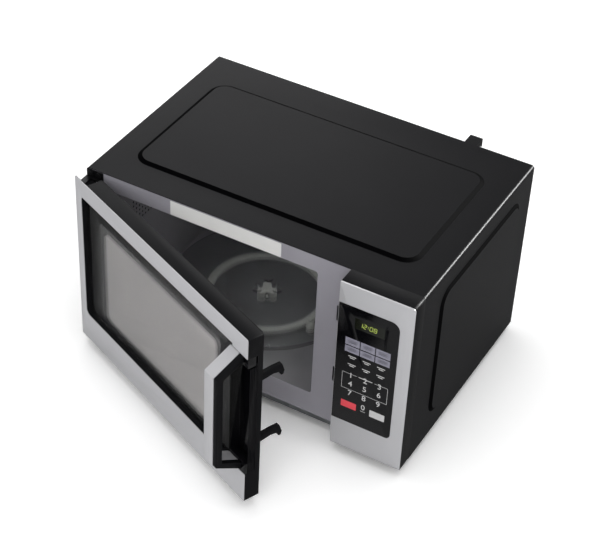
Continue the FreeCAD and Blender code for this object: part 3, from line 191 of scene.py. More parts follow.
def clearGlass(name, colour, ior, rough, wave, relief, alpha):  # pressed or floated: clear, wavy over that many mm; alpha lets lamp light through
    material, tree, shader, place = emptyMaterial(name)
    ripple = addNode(tree, "ShaderNodeTexNoise", inputs={"Vector": place, "Scale": perMetre(wave), "Detail": 1.0})
    bump = addNode(tree, "ShaderNodeBump", inputs={"Height": ripple.outputs[0], "Distance": relief * mm, "Strength": 0.5})
    gloss = addNode(tree, "ShaderNodeMapRange", inputs={"Value": ripple.outputs[0], "To Min": rough, "To Max": rough * 2})
    tree.links.new(bump.outputs[0], shader.inputs["Normal"])
    tree.links.new(gloss.outputs[0], shader.inputs["Roughness"])
    shader.inputs["Base Color"].default_value = linear(colour)
    shader.inputs["Transmission Weight"].default_value = 1
    shader.inputs["Alpha"].default_value = alpha
    shader.inputs["IOR"].default_value = ior
    return material


def glowingSegments():  # vacuum-fluorescent segments: lit from inside, a yellow green
    material, tree, shader, place = emptyMaterial("glowingSegments")
    flicker = addNode(tree, "ShaderNodeTexNoise", inputs={"Vector": place, "Scale": perMetre(3), "Detail": 1.0})
    glow = addNode(tree, "ShaderNodeMix", {"data_type": "RGBA"},
                   {"Factor": flicker.outputs[0], "A": linear("#a9bf4e"), "B": linear("#cfe070")})
    tree.links.new(glow.outputs["Result"], shader.inputs["Emission Color"])
    shader.inputs["Base Color"].default_value = linear("#39410f")
    shader.inputs["Emission Strength"].default_value = 0.9
    shader.inputs["Roughness"].default_value = 0.4
    return material


materials["galvanisedSheet"] = galvanisedSheet()
materials["laminatedCore"] = banded("laminatedCore", ("#33312f", "#4a4744"), 1.0, "Y", 0.6, 0.5, 0.1)
materials["enamelledWinding"] = banded("enamelledWinding", ("#6e2f17", "#a85a32"), 1.2, "Z", 0.7, 0.34, 0.3)
materials["clearPolyesterFilm"] = clearGlass("clearPolyesterFilm", "#f4f4f2", 1.33, 0.05, 60, 0.002, 0.3)
materials["floatGlass"] = clearGlass("floatGlass", "#f4f6f5", 1.5, 0.01, 120, 0.001, 0.35)
materials["pressedGlass"] = clearGlass("pressedGlass", "#f0f4f2", 1.5, 0.02, 14, 0.05, 0.6)
materials["glowingSegments"] = glowingSegments()
print("materials made:", len(materials))


def paint(obj, material):
    obj.data.materials.clear()
    obj.data.materials.append(materials[material])


def addPiece(name, mesh, material, body, stands=(), sharp=30):  # sharp: degrees over which an edge stays crisp
    obj = bpy.data.objects.new(name, mesh)
    bpy.context.scene.collection.objects.link(obj)
    paint(obj, material)
    mesh.shade_smooth()
    if sharp:
        mesh.set_sharp_from_angle(angle=math.radians(sharp))
    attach(obj, body)
    if stands:
        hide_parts(*stands)
    return obj


def meshOf(name, bm):
    mesh = bpy.data.meshes.new(name)
    bm.to_mesh(mesh)
    bm.free()
    return mesh


def mergedCopy(node):  # a CAD node's triangles joined up, and the flat ones merged into faces
    bm = bmesh.new()
    bm.from_mesh(nodes[node].data)
    bmesh.ops.remove_doubles(bm, verts=bm.verts, dist=0.002 * mm)
    bmesh.ops.dissolve_limit(bm, angle_limit=math.radians(0.5), verts=bm.verts, edges=bm.edges)
    return bm


def softened(node, name, width, material, body, segments=2, angle=30):  # a CAD node with its edges rounded, width in mm
    obj = addPiece(name, meshOf(name, mergedCopy(node)), material, body, [node], sharp=0)
    bevel = obj.modifiers.new("rounded edges", "BEVEL")
    bevel.width = width * mm
    bevel.segments = segments
    bevel.limit_method = "ANGLE"
    bevel.angle_limit = math.radians(angle)
    bevel.harden_normals = True
    return obj


# ---------- where things are, all from the frame ----------

doorJoint = next(joint for joint in frame["joints"] if joint["name"] == "door_hinge")
hinge = Vector(doorJoint["pos_m"])
ajar = math.radians(doorJoint["range_deg"][0])
swing = Matrix.Translation(hinge) @ Matrix.Rotation(ajar, 4, "Z") @ Matrix.Translation(-hinge)  # closed to ajar
unswing = swing.inverted()


def closedBox(node):  # a door node's box as if the door were closed
    spots = [unswing @ v.co for v in nodes[node].data.vertices]
    return (Vector([min(s[i] for s in spots) for i in range(3)]),
            Vector([max(s[i] for s in spots) for i in range(3)]))


# ---------- the finishes of the CAD nodes that stay ----------

nodeFinishes = {
    "galvanisedSheet": ["base_plate", "rear_panel", "waveguide", "magnetron_yoke", "magnetron_filter_box",
                        "turntable_motor", "capacitor_clamp"],
    "greyEnamel": ["front_plate"],
    # painted shade: the cavity's walls, floor and ceiling take the darker copy of the front's enamel
    "cavityEnamelPaintedShade": ["cavity_floor", "cavity_left_wall", "cavity_right_wall", "cavity_rear_wall", "cavity_ceiling"],
    "blackMouldedAbs": ["wall_spacer", "cord_gland", "fan_shroud", "lamp_holder", "interlock_switches"],
    "micaSheet": ["waveguide_cover"],
    "blackOxideSteel": ["upper_hinge", "lower_hinge", "hinge_screws"],
    "zincPlate": ["cabinet_screws", "latch_spring", "hv_diode"],
    "circuitBoard": ["control_board"],
    "blackPolishedAbs": ["board_components", "display_module"],
    "displayTint": ["display_lens"],
    "whitePolypropylene": ["interlock_bracket", "switch_plunger_1", "switch_plunger_2", "switch_plunger_3",
                           "drive_coupler", "fan_blade"],
    "aluminiumFinStock": ["magnetron_anode"],
    "aluminiumCan": ["hv_capacitor"],
    "laminatedCore": ["transformer_core", "fan_motor"],
    "enamelledWinding": ["transformer_windings"],
    "clearPolyesterFilm": ["inner_window"],
    "floatGlass": ["door_glass", "lamp_bulb"],
    "tinnedFoil": ["screen_plate"],
    "pressedGlass": ["glass_tray"],
}
for finish, names in nodeFinishes.items():
    for name in names:
        for slot in nodes[name].material_slots:
            slot.material = materials[finish]
print("CAD nodes painted")


# ---------- moulded and pressed pieces: CAD shapes with their edges rounded ----------

roundings = [  # node, piece, edge radius in mm, finish, body, slot
    ("door_frame", "doorFrame", 0.6, "blackMouldedAbs", "door", "black_plastic"),
    ("door_skin", "doorSkin", 0.45, "silverLacquer", "door", "silver"),
    ("choke_cover", "chokeCover", 0.4, "blackMouldedAbs", "door", "black_plastic"),
    ("handle_cup", "handleCup", 0.5, "blackPolishedAbs", "door", "black_plastic"),
    ("latch_hooks", "latchHooks", 0.5, "blackMouldedAbs", "latch", "black_plastic"),
    ("control_panel_frame", "panelFrame", 0.6, "blackMouldedAbs", "cabinet", "black_plastic"),
    ("panel_skin", "panelSkin", 0.4, "silverLacquer", "cabinet", "silver"),
    ("keypad_film", "keypadFilm", 0.1, "blackKeypadFilm", "cabinet", "gloss_black"),
    ("feet", "rubberFeet", 1.0, "blackRubber", "cabinet", "black_plastic"),
    ("roller_ring", "rollerRing", 0.6, "whitePolypropylene", "ring", "white_plastic"),
    ("roller_1", "rollerOne", 0.7, "whitePolypropylene", "wheel_1", "white_plastic"),
    ("roller_2", "rollerTwo", 0.7, "whitePolypropylene", "wheel_2", "white_plastic"),
    ("roller_3", "rollerThree", 0.7, "whitePolypropylene", "wheel_3", "white_plastic"),
]
for node, piece, width, finish, body, slot in roundings:
    softened(node, piece, width, finish, body)
print("edges rounded:", len(roundings))


def splitOff(bm, chosen):  # takes faces out of a mesh into one of their own
    rest = bm.copy()
    bm.faces.ensure_lookup_table()
    rest.faces.ensure_lookup_table()
    picked = {face.index for face in bm.faces if chosen(face)}
    bmesh.ops.delete(rest, geom=[face for face in rest.faces if face.index not in picked], context="FACES")
    bmesh.ops.delete(bm, geom=[face for face in bm.faces if face.index in picked], context="FACES")
    return rest


steps = {"topAbove": 281, "sideBelow": 272, "sideOut": 243.6, "steepest": 0.97}   # mm, and the normal's share along the panel


def wrap():  # the sheet wrap, with painted shade on the sloping steps round its pressed panels
    bm = mergedCopy("outer_cabinet")

    def onStep(face):
        spot, normal = face.calc_center_median() / mm, face.normal
        top = spot.z > steps["topAbove"] and 0.3 < normal.z < steps["steepest"]
        side = abs(spot.x) > steps["sideOut"] and spot.z < steps["sideBelow"] and 0.3 < abs(normal.x) < steps["steepest"]
        return top or side

    slopes = splitOff(bm, onStep)
    addPiece("wrapSheet", meshOf("wrapSheet", bm), "blackPowderCoat", "cabinet", ["outer_cabinet"])
    # painted shade: the step faces are split off and given the near-black copy of the coat
    addPiece("wrapStepsPaintedShade", meshOf("wrapStepsPaintedShade", slopes), "blackPaintedStepShade", "cabinet")


wrap()

grip = {"silver": 18.4, "lipHigh": 10, "recess": 0.6, "round": 1.0}   # mm: width of the silver face, height of the black lip under it


def handleGrip():  # a silver bar whose inner side and lower lip are bare black plastic
    low, high = closedBox("handle_grip")
    bm = mergedCopy("handle_grip")
    bm.transform(unswing)
    cutX = low.x + grip["silver"] * mm
    bmesh.ops.bisect_plane(bm, geom=bm.verts[:] + bm.edges[:] + bm.faces[:], plane_co=(cutX, 0, 0), plane_no=(1, 0, 0))
    dark = splitOff(bm, lambda face: face.calc_center_median().x > cutX)
    for part, name, finish, slot, stands in ((bm, "handleGrip", "silverLacquer", "silver", ["handle_grip"]),
                                             (dark, "gripLining", "blackMouldedAbs", "black_plastic", [])):
        rims = [edge for edge in part.edges if edge.is_boundary]
        bmesh.ops.holes_fill(part, edges=rims, sides=0)
        if name == "gripLining":
            for vertex in part.verts:
                vertex.co.y += grip["recess"] * mm
        bmesh.ops.recalc_face_normals(part, faces=part.faces)
        part.transform(swing)
        obj = addPiece(name, meshOf(name, part), finish, "door", stands, sharp=0)
        bevel = obj.modifiers.new("rounded edges", "BEVEL")
        bevel.width = grip["round"] * mm
        bevel.segments = 3
        bevel.limit_method = "ANGLE"
        bevel.angle_limit = math.radians(30)
        bevel.harden_normals = True


handleGrip()


# ---------- glass tray ----------

tray = {
    "base": 92, "thick": 5, "rise": 6.7,       # flat bottom's radius, glass thickness, how far the rim stands up, mm
    "bumpTrack": 16, "bumpRadius": 6.4, "bumpHeight": 3.4, "bumpAngles": (0, 113, 238),
    "keyTrack": 14.25, "keyRadius": 3.3, "keyDrop": 6, "keyAngles": (60, 180, 300),
    "fineRing": 0.9, "fineOut": 27, "segments": 192,
}


def lathe(bm, profile, centre, segments, lift=None):  # profile: (radius, height) from axis to axis, in metres
    rings = []
    for radius, height in profile:
        if radius == 0:
            rings.append([bm.verts.new(centre + Vector((0, 0, height)))])
            continue
        ring = []
        for i in range(segments):
            turn = 2 * math.pi * i / segments
            extra = lift(radius, turn, height) if lift else 0
            ring.append(bm.verts.new(centre + Vector((radius * math.cos(turn), radius * math.sin(turn), height + extra))))
        rings.append(ring)
    for low, high in zip(rings, rings[1:]):
        for i in range(segments):
            j = (i + 1) % segments
            corners = [low[i % len(low)], low[j % len(low)], high[j % len(high)], high[i % len(high)]]
            bm.faces.new(list(dict.fromkeys(corners)))
    bmesh.ops.recalc_face_normals(bm, faces=bm.faces)


def rounded(corners, radius, steps=5):  # an outline whose inner corners are turned into arcs
    smooth = [corners[0]]
    for before, here, after in zip(corners, corners[1:], corners[2:]):
        before, here, after = Vector(before), Vector(here), Vector(after)
        reach = min(radius, (before - here).length * 0.45, (after - here).length * 0.45)
        start, end = here + (before - here).normalized() * reach, here + (after - here).normalized() * reach
        for k in range(steps + 1):
            t = k / steps
            smooth.append(tuple(start.lerp(here, t).lerp(here.lerp(end, t), t)))
    return smooth + [corners[-1]]


def glassTray():
    low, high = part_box("glass_tray")
    centre = Vector(((low.x + high.x) / 2, (low.y + high.y) / 2, 0))
    radius = (high.x - low.x) / 2
    thick, rise = tray["thick"] * mm, tray["rise"] * mm
    floor = high.z - rise - thick
    fine = [k * tray["fineRing"] * mm for k in range(int(tray["fineOut"] / tray["fineRing"]) + 1)]
    flat = tray["base"] * mm
    under = rounded([(fine[-1], floor), (flat, floor), (radius - 0.012, floor + rise - 0.0022), (radius, floor + rise)], 0.012)
    edge = rounded([under[-1], (radius, floor + rise + thick - 0.0008), (radius - 0.0012, high.z),
                    (radius - 0.0052, high.z - 0.0003), (radius - 0.0085, high.z - 0.0019)], 0.0016)
    top = rounded([edge[-1], (flat + 0.002, floor + thick), (fine[-1], floor + thick)], 0.014)
    profile = [(r, floor) for r in fine[:-1]] + under[:-1] + edge[:-1] + top[:-1] + \
              [(r, floor + thick) for r in reversed(fine)]

    def near(r, turn, track, angle):
        angle = math.radians(angle)
        return math.hypot(r * math.cos(turn) - track * mm * math.cos(angle), r * math.sin(turn) - track * mm * math.sin(angle))

    def lift(r, turn, height):
        if height > floor + thick * 0.9 and r < tray["fineOut"] * mm:
            away = min(near(r, turn, tray["bumpTrack"], a) for a in tray["bumpAngles"]) / (tray["bumpRadius"] * mm)
            return tray["bumpHeight"] * mm * math.sqrt(1 - away * away) if away < 1 else 0
        if height < floor + thick * 0.1 and r < tray["fineOut"] * mm:
            away = min(near(r, turn, tray["keyTrack"], a) for a in tray["keyAngles"]) / (tray["keyRadius"] * mm)
            return -tray["keyDrop"] * mm * min(1, (1 - away) * 5) if away < 1 else 0
        return 0

    bm = bmesh.new()
    lathe(bm, profile, centre, tray["segments"], lift)
    addPiece("glassTray", meshOf("glassTray", bm), "pressedGlass", "tray", ["glass_tray"], sharp=60)
    return centre, floor


trayCentre, trayFloor = glassTray()
print("tray made")


# ---------- oven floor: the pressed track that the rollers run in ----------

track = {"inner": 84, "outer": 108, "ridge": 0.7, "bead": 3.0, "segments": 128}   # mm


def floorTrack():
    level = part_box("cavity_floor")[1].z
    bm = bmesh.new()
    for middle in (track["inner"], track["outer"]):
        half = track["bead"] / 2
        profile = rounded([((middle - half) * mm, level), ((middle - half / 3) * mm, level + track["ridge"] * mm),
                           ((middle + half / 3) * mm, level + track["ridge"] * mm), ((middle + half) * mm, level)], 0.001)
        profile.append(profile[0])
        lathe(bm, profile, trayCentre, track["segments"])
    bmesh.ops.remove_doubles(bm, verts=bm.verts, dist=0.001 * mm)
    # painted shade: the pressed track takes the darker copy of the enamel too
    addPiece("floorTrack", meshOf("floorTrack", bm), "cavityEnamelPaintedShade", "cabinet")


floorTrack()


# ---------- flat shapes on the door and the panel ----------

def roundRect(left, right, low, high, radii, steps=6):  # outline in x and z; radii go low left, low right, high right, high left
    spots = []
    corners = [(left, low, 1, 1, 180), (right, low, -1, 1, 270), (right, high, -1, -1, 0), (left, high, 1, -1, 90)]
    for (x, z, sx, sz, start), radius in zip(corners, radii):
        for k in range(steps + 1):
            turn = math.radians(start + 90 * k / steps)
            spots.append((x + sx * radius + radius * math.cos(turn), z + sz * radius + radius * math.sin(turn)))
            if radius == 0:
                break
    return spots


def addSlab(bm, outline, front, back):  # an outline in x and z given thickness along y
    near = [bm.verts.new((x, front, z)) for x, z in outline]
    far = [bm.verts.new((x, back, z)) for x, z in outline]
    bm.faces.new(near)
    bm.faces.new(list(reversed(far)))
    for i in range(len(near)):
        j = (i + 1) % len(near)
        bm.faces.new([near[j], near[i], far[i], far[j]])


def addFrame(bm, outer, inner, front, back):  # a flat ring between two outlines with as many points
    loops = [[bm.verts.new((x, y, z)) for x, z in outline] for outline in (outer, inner) for y in (front, back)]
    outFront, outBack, inFront, inBack = loops
    for i in range(len(outer)):
        j = (i + 1) % len(outer)
        bm.faces.new([outFront[i], outFront[j], inFront[j], inFront[i]])
        bm.faces.new([outBack[j], outBack[i], inBack[i], inBack[j]])
        bm.faces.new([outFront[j], outFront[i], outBack[i], outBack[j]])
        bm.faces.new([inFront[i], inFront[j], inBack[j], inBack[i]])


# ---------- door glass print: a black border round the window ----------

window = {"left": 52.6, "right": 307, "low": 58.8, "high": 205.3, "radius": 9, "print": 0.12, "inset": 1.0}   # mm


def glassBorder():
    low, high = closedBox("door_glass")
    frameLow = closedBox("door_frame")[0]
    left, right, inset = frameLow.x + window["left"] * mm, frameLow.x + window["right"] * mm, window["inset"] * mm
    base = frameLow.z - 2.9 * mm
    radius = window["radius"] * mm
    bm = bmesh.new()
    outer = roundRect(low.x + inset, high.x - inset, low.z + inset, high.z - inset, [6.6 * mm, 2 * mm, 2 * mm, 3 * mm])
    inner = roundRect(left, right, base + window["low"] * mm, base + window["high"] * mm, [radius] * 4)
    front = closedBox("screen_plate")[0].y - window["print"] * mm   # laid on the screen, so that its edges read sharp
    addFrame(bm, outer, inner, front, front + (window["print"] - 0.01) * mm)
    bmesh.ops.recalc_face_normals(bm, faces=bm.faces)
    bm.transform(swing)
    addPiece("glassBorder", meshOf("glassBorder", bm), "blackFrit", "door")


glassBorder()


# ---------- Geometry Nodes: what repeats ----------

def newTree(name, sizes):  # a tree whose inputs are the named sizes
    tree = bpy.data.node_groups.new(name, "GeometryNodeTree")
    tree.interface.new_socket("Geometry", in_out="INPUT", socket_type="NodeSocketGeometry")
    for label, value in sizes.items():
        kind = "NodeSocketInt" if isinstance(value, int) else "NodeSocketFloat"
        tree.interface.new_socket(label, in_out="INPUT", socket_type=kind)
    tree.interface.new_socket("Geometry", in_out="OUTPUT", socket_type="NodeSocketGeometry")
    return tree, addNode(tree, "NodeGroupInput")


def endTree(tree, geometry, material):
    real = addNode(tree, "GeometryNodeRealizeInstances", inputs={0: geometry})
    painted = addNode(tree, "GeometryNodeSetMaterial", inputs={"Geometry": real.outputs[0], "Material": materials[material]})
    addNode(tree, "NodeGroupOutput", inputs={0: painted.outputs[0]})


def grownMesh(name, tree, sizes, start=None):  # runs the tree once and keeps its result as a plain mesh
    host = bpy.data.objects.new(name + "Host", start or bpy.data.meshes.new(name + "Start"))
    bpy.context.scene.collection.objects.link(host)
    modifier = host.modifiers.new("grow", "NODES")
    modifier.node_group = tree
    for item in tree.interface.items_tree:
        if item.in_out == "INPUT" and item.name in sizes:
            modifier[item.identifier] = sizes[item.name]
    view = bpy.context.evaluated_depsgraph_get()
    mesh = bpy.data.meshes.new_from_object(host.evaluated_get(view))
    bpy.data.objects.remove(host)
    mesh.name = name
    return mesh


screen = {"Width": 0.2596, "Height": 0.1512, "Columns": 100, "Rows": 58, "Hole Share": 0.5}   # holes every 2.6 mm


def perforatedScreen():  # holes finer than real ones would vanish at this size, so they are drawn at 2.6 mm
    tree, given = newTree("perforated screen", screen)
    columns = addNode(tree, "ShaderNodeMath", inputs={0: given.outputs["Columns"], 1: 1.0})
    rows = addNode(tree, "ShaderNodeMath", inputs={0: given.outputs["Rows"], 1: 1.0})
    grid = addNode(tree, "GeometryNodeMeshGrid", inputs={
        "Size X": given.outputs["Width"], "Size Y": given.outputs["Height"],
        "Vertices X": columns.outputs[0], "Vertices Y": rows.outputs[0]})
    cells = addNode(tree, "GeometryNodeExtrudeMesh", {"mode": "FACES"},
                    {"Mesh": grid.outputs["Mesh"], "Offset Scale": 0.0, "Individual": True})
    shrunk = addNode(tree, "GeometryNodeScaleElements", {"domain": "FACE"},
                     {"Geometry": cells.outputs["Mesh"], "Selection": cells.outputs["Top"], "Scale": given.outputs["Hole Share"]})
    open_ = addNode(tree, "GeometryNodeDeleteGeometry", {"domain": "FACE"},
                    {"Geometry": shrunk.outputs[0], "Selection": cells.outputs["Top"]})
    endTree(tree, open_.outputs[0], "tinnedFoil")
    mesh = grownMesh("perforatedScreen", tree, screen)
    low, high = closedBox("screen_plate")
    frameLow = closedBox("door_frame")[0]
    middleX = frameLow.x + (window["left"] + window["right"]) / 2 * mm
    middleZ = frameLow.z + ((window["low"] + window["high"]) / 2 - 2.9) * mm
    level = (low.y + high.y) / 2
    bm = bmesh.new()
    bm.from_mesh(mesh)
    bmesh.ops.remove_doubles(bm, verts=bm.verts, dist=0.01 * mm)
    bm.transform(Matrix.Translation((middleX, level, middleZ)) @ Matrix.Rotation(math.radians(90), 4, "X"))
    bmesh.ops.solidify(bm, geom=bm.faces[:], thickness=0.3 * mm)
    hole = roundRect(middleX - screen["Width"] / 2, middleX + screen["Width"] / 2,
                     middleZ - screen["Height"] / 2, middleZ + screen["Height"] / 2, [0.01 * mm] * 4)
    rim = roundRect(low.x, high.x, low.z, high.z, [5.7 * mm] * 4)
    addFrame(bm, rim, hole, low.y, high.y)
    bmesh.ops.recalc_face_normals(bm, faces=bm.faces)
    bm.transform(swing)
    bpy.data.meshes.remove(mesh)
    addPiece("perforatedScreen", meshOf("perforatedScreen", bm), "tinnedFoil", "door", ["screen_plate"])


perforatedScreen()

ribs = {"Count": 6, "Pitch": 0.0021, "Rib Depth": 0.0010, "Rib Width": 0.0006, "Rib Height": 0.172}   # along the door's free edge


def edgeRibs():
    tree, given = newTree("edge ribs", ribs)
    step = addNode(tree, "ShaderNodeCombineXYZ", inputs={"Y": given.outputs["Pitch"]})
    line = addNode(tree, "GeometryNodeMeshLine", inputs={"Count": given.outputs["Count"], "Offset": step.outputs[0]})
    size = addNode(tree, "ShaderNodeCombineXYZ", inputs={
        "X": given.outputs["Rib Width"], "Y": given.outputs["Rib Depth"], "Z": given.outputs["Rib Height"]})
    rib = addNode(tree, "GeometryNodeMeshCube", inputs={"Size": size.outputs[0]})
    row = addNode(tree, "GeometryNodeInstanceOnPoints", inputs={"Points": line.outputs[0], "Instance": rib.outputs["Mesh"]})
    endTree(tree, row.outputs[0], "blackMouldedAbs")
    mesh = grownMesh("edgeRibs", tree, ribs)
    low, high = closedBox("door_frame")
    middle = (low.z + high.z) / 2
    mesh.transform(swing @ Matrix.Translation((high.x + ribs["Rib Width"] / 2 - 0.05 * mm, low.y + 4 * mm, middle)))
    addPiece("edgeRibs", mesh, "blackMouldedAbs", "door")


edgeRibs()

screws = {"Head Radius": 0.0038, "Head Height": 0.0021, "Cross Width": 0.0009, "Cross Length": 0.0040, "Shank": 0.0075}


def rearScrews():  # pan heads with a cross recess
    bm = bmesh.new()
    bm.from_mesh(nodes["cabinet_screws"].data)
    bmesh.ops.remove_doubles(bm, verts=bm.verts, dist=0.002 * mm)
    spots, left = [], set(bm.verts)
    while left:
        island, edge = set(), [left.pop()]
        while edge:
            vertex = edge.pop()
            island.add(vertex)
            for link in vertex.link_edges:
                other = link.other_vert(vertex)
                if other in left:
                    left.discard(other)
                    edge.append(other)
        xs, zs = [v.co.x for v in island], [v.co.z for v in island]
        back = max(v.co.y for v in island)
        spots.append(Vector(((min(xs) + max(xs)) / 2, back - screws["Head Height"], (min(zs) + max(zs)) / 2)))
    bm.free()
    start = bpy.data.meshes.new("screwSpots")
    start.from_pydata([tuple(s) for s in spots], [], [])
    tree, given = newTree("cross-head screws", screws)
    ball = addNode(tree, "GeometryNodeMeshUVSphere", inputs={"Segments": 20, "Rings": 12, "Radius": 1.0})
    flat = addNode(tree, "ShaderNodeCombineXYZ", inputs={
        "X": given.outputs["Head Radius"], "Y": given.outputs["Head Radius"], "Z": given.outputs["Head Height"]})
    dome = addNode(tree, "GeometryNodeTransform", inputs={"Geometry": ball.outputs["Mesh"], "Scale": flat.outputs[0]})
    arms = []
    for first, second in (("Cross Width", "Cross Length"), ("Cross Length", "Cross Width")):
        size = addNode(tree, "ShaderNodeCombineXYZ", inputs={
            "X": given.outputs[first], "Y": given.outputs[second], "Z": given.outputs["Head Height"]})
        arm = addNode(tree, "GeometryNodeMeshCube", inputs={"Size": size.outputs[0]})
        arms.append(addNode(tree, "GeometryNodeTransform", inputs={"Geometry": arm.outputs["Mesh"], "Translation": (0, 0, 0.0019)}))
    cross = addNode(tree, "GeometryNodeMeshBoolean", {"operation": "DIFFERENCE"}, {"Mesh 1": dome.outputs[0]})
    for arm in arms:
        tree.links.new(arm.outputs[0], cross.inputs["Mesh 2"])
    shank = addNode(tree, "GeometryNodeMeshCylinder", inputs={"Vertices": 16, "Radius": 0.0019, "Depth": given.outputs["Shank"]})
    sunk = addNode(tree, "GeometryNodeTransform", inputs={"Geometry": shank.outputs["Mesh"], "Translation": (0, 0, -0.0042)})
    whole = addNode(tree, "GeometryNodeJoinGeometry")
    tree.links.new(cross.outputs["Mesh"], whole.inputs[0])
    tree.links.new(sunk.outputs[0], whole.inputs[0])
    row = addNode(tree, "GeometryNodeInstanceOnPoints", inputs={
        "Points": given.outputs["Geometry"], "Instance": whole.outputs[0], "Rotation": (math.radians(-90), 0, 0)})
    endTree(tree, row.outputs[0], "zincPlate")
    addPiece("rearScrews", grownMesh("rearScrews", tree, screws, start), "zincPlate", "cabinet", ["cabinet_screws"])


rearScrews()
print("repeats grown")


# ---------- keypad and display ----------

keypad = {  # mm from the film's lower left corner, as x and z
    "ink": 0.05,
    "bars": dict(left=12, right=74, rows=((128, 139.5), (116.5, 126.5)), cells=3, gap=1.2),
    "columns": (23, 43, 63),
    "wordRows": (110, 97), "wordWide": 11, "wordHigh": 1.3,
    "digits": {"1": (0, 76), "2": (1, 76), "3": (2, 76), "4": (0, 62), "5": (1, 62), "6": (2, 62),
               "7": (0, 46.5), "8": (1, 46.5), "9": (2, 46.5), "0": (1, 31)},
    "digitHigh": 8.2,
    "boxLeft": 11, "boxRight": 74.5, "boxLow": 56, "boxHigh": 82, "line": 0.5, "gapFrom": 31, "gapTo": 56,
    "redKey": (12, 33.5, 24.5, 35.5), "whiteKey": (52.5, 73.5, 25, 36),
}


def addText(bm, text, x, z, high, front):  # a numeral facing the user, centred on x, standing on z
    curve = bpy.data.curves.new("numeral", "FONT")
    curve.body = text
    curve.size = high / 0.7   # a numeral is 0.7 of the font's size
    curve.align_x = "CENTER"
    curve.extrude = keypad["ink"] * mm / 2
    curve.offset = 0.012 * high
    holder = bpy.data.objects.new("numeral", curve)
    bpy.context.scene.collection.objects.link(holder)
    mesh = bpy.data.meshes.new_from_object(holder.evaluated_get(bpy.context.evaluated_depsgraph_get()))
    mesh.transform(Matrix.Translation((x, front, z)) @ Matrix.Rotation(math.radians(90), 4, "X"))
    bm.from_mesh(mesh)
    bpy.data.objects.remove(holder)
    bpy.data.meshes.remove(mesh)


def keypadPrint():
    low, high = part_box("keypad_film")
    ink = keypad["ink"] * mm
    front, back = low.y - ink, low.y - 0.002 * mm
    white, grey, red = bmesh.new(), bmesh.new(), bmesh.new()

    def at(x, z):
        return low.x + x * mm, low.z + z * mm

    def bar(bm, left, right, bottom, top, radius=0.3):
        (x0, z0), (x1, z1) = at(left, bottom), at(right, top)
        addSlab(bm, roundRect(x0, x1, z0, z1, [radius * mm] * 4, 3), front, back)

    bars = keypad["bars"]
    cell = (bars["right"] - bars["left"] - bars["gap"] * (bars["cells"] - 1)) / bars["cells"]
    for bottom, top in bars["rows"]:
        for k in range(bars["cells"]):
            left = bars["left"] + k * (cell + bars["gap"])
            bar(grey, left, left + cell, bottom, top)
            for line in (0.36, 0.62):   # plain strokes where a key would be named
                level = bottom + (top - bottom) * line
                bar(white, left + 4, left + cell - 4, level, level + 0.9, 0.2)
    half = keypad["wordWide"] / 2
    for level in keypad["wordRows"]:
        for x in keypad["columns"]:
            bar(white, x - half, x + half, level, level + keypad["wordHigh"], 0.3)
            bar(white, x - half * 0.6, x + half * 0.6, level - 2.6, level - 2.6 + keypad["wordHigh"], 0.3)
    for text, (column, z) in keypad["digits"].items():
        addText(white, text, *at(keypad["columns"][column], z), keypad["digitHigh"] * mm, (front + back) / 2)
    line = keypad["line"]
    left, right, bottom, top = keypad["boxLeft"], keypad["boxRight"], keypad["boxLow"], keypad["boxHigh"]
    for x in (left, right):
        bar(white, x - line / 2, x + line / 2, bottom, top, 0.1)
    bar(white, left, right, bottom - line / 2, bottom + line / 2, 0.1)
    for x0, x1 in ((left, keypad["gapFrom"]), (keypad["gapTo"], right)):
        bar(white, x0, x1, top - line / 2, top + line / 2, 0.1)
    bar(white, keypad["gapFrom"] + 3, keypad["gapTo"] - 3, top - 0.6, top + 0.6, 0.2)
    bar(red, *keypad["redKey"], 0.8)
    bar(white, *keypad["whiteKey"], 0.8)
    x = keypad["columns"][1]
    bar(white, x - 3.4, x + 3.4, 27.6, 28.3, 0.2)
    for bm, name, finish in ((white, "keypadWhite", "whiteInk"), (grey, "keypadBars", "lavenderInk"), (red, "keypadRed", "redInk")):
        bmesh.ops.recalc_face_normals(bm, faces=bm.faces)
        addPiece(name, meshOf(name, bm), finish, "cabinet")


keypadPrint()

display = {"text": "12:08", "high": 6.4, "wide": 3.6, "pitch": 5.6, "stroke": 0.75, "lean": 0.10, "left": 6.2, "low": 5.0, "ink": 0.05}   # mm
segments = {  # seven segments, as x and z ends in shares of a digit's width and height
    "a": ((0, 1), (1, 1)), "b": ((1, 0.5), (1, 1)), "c": ((1, 0), (1, 0.5)), "d": ((0, 0), (1, 0)),
    "e": ((0, 0), (0, 0.5)), "f": ((0, 0.5), (0, 1)), "g": ((0, 0.5), (1, 0.5)),
}
numerals = {"1": "bc", "2": "abged", "0": "abcdef", "8": "abcdefg"}


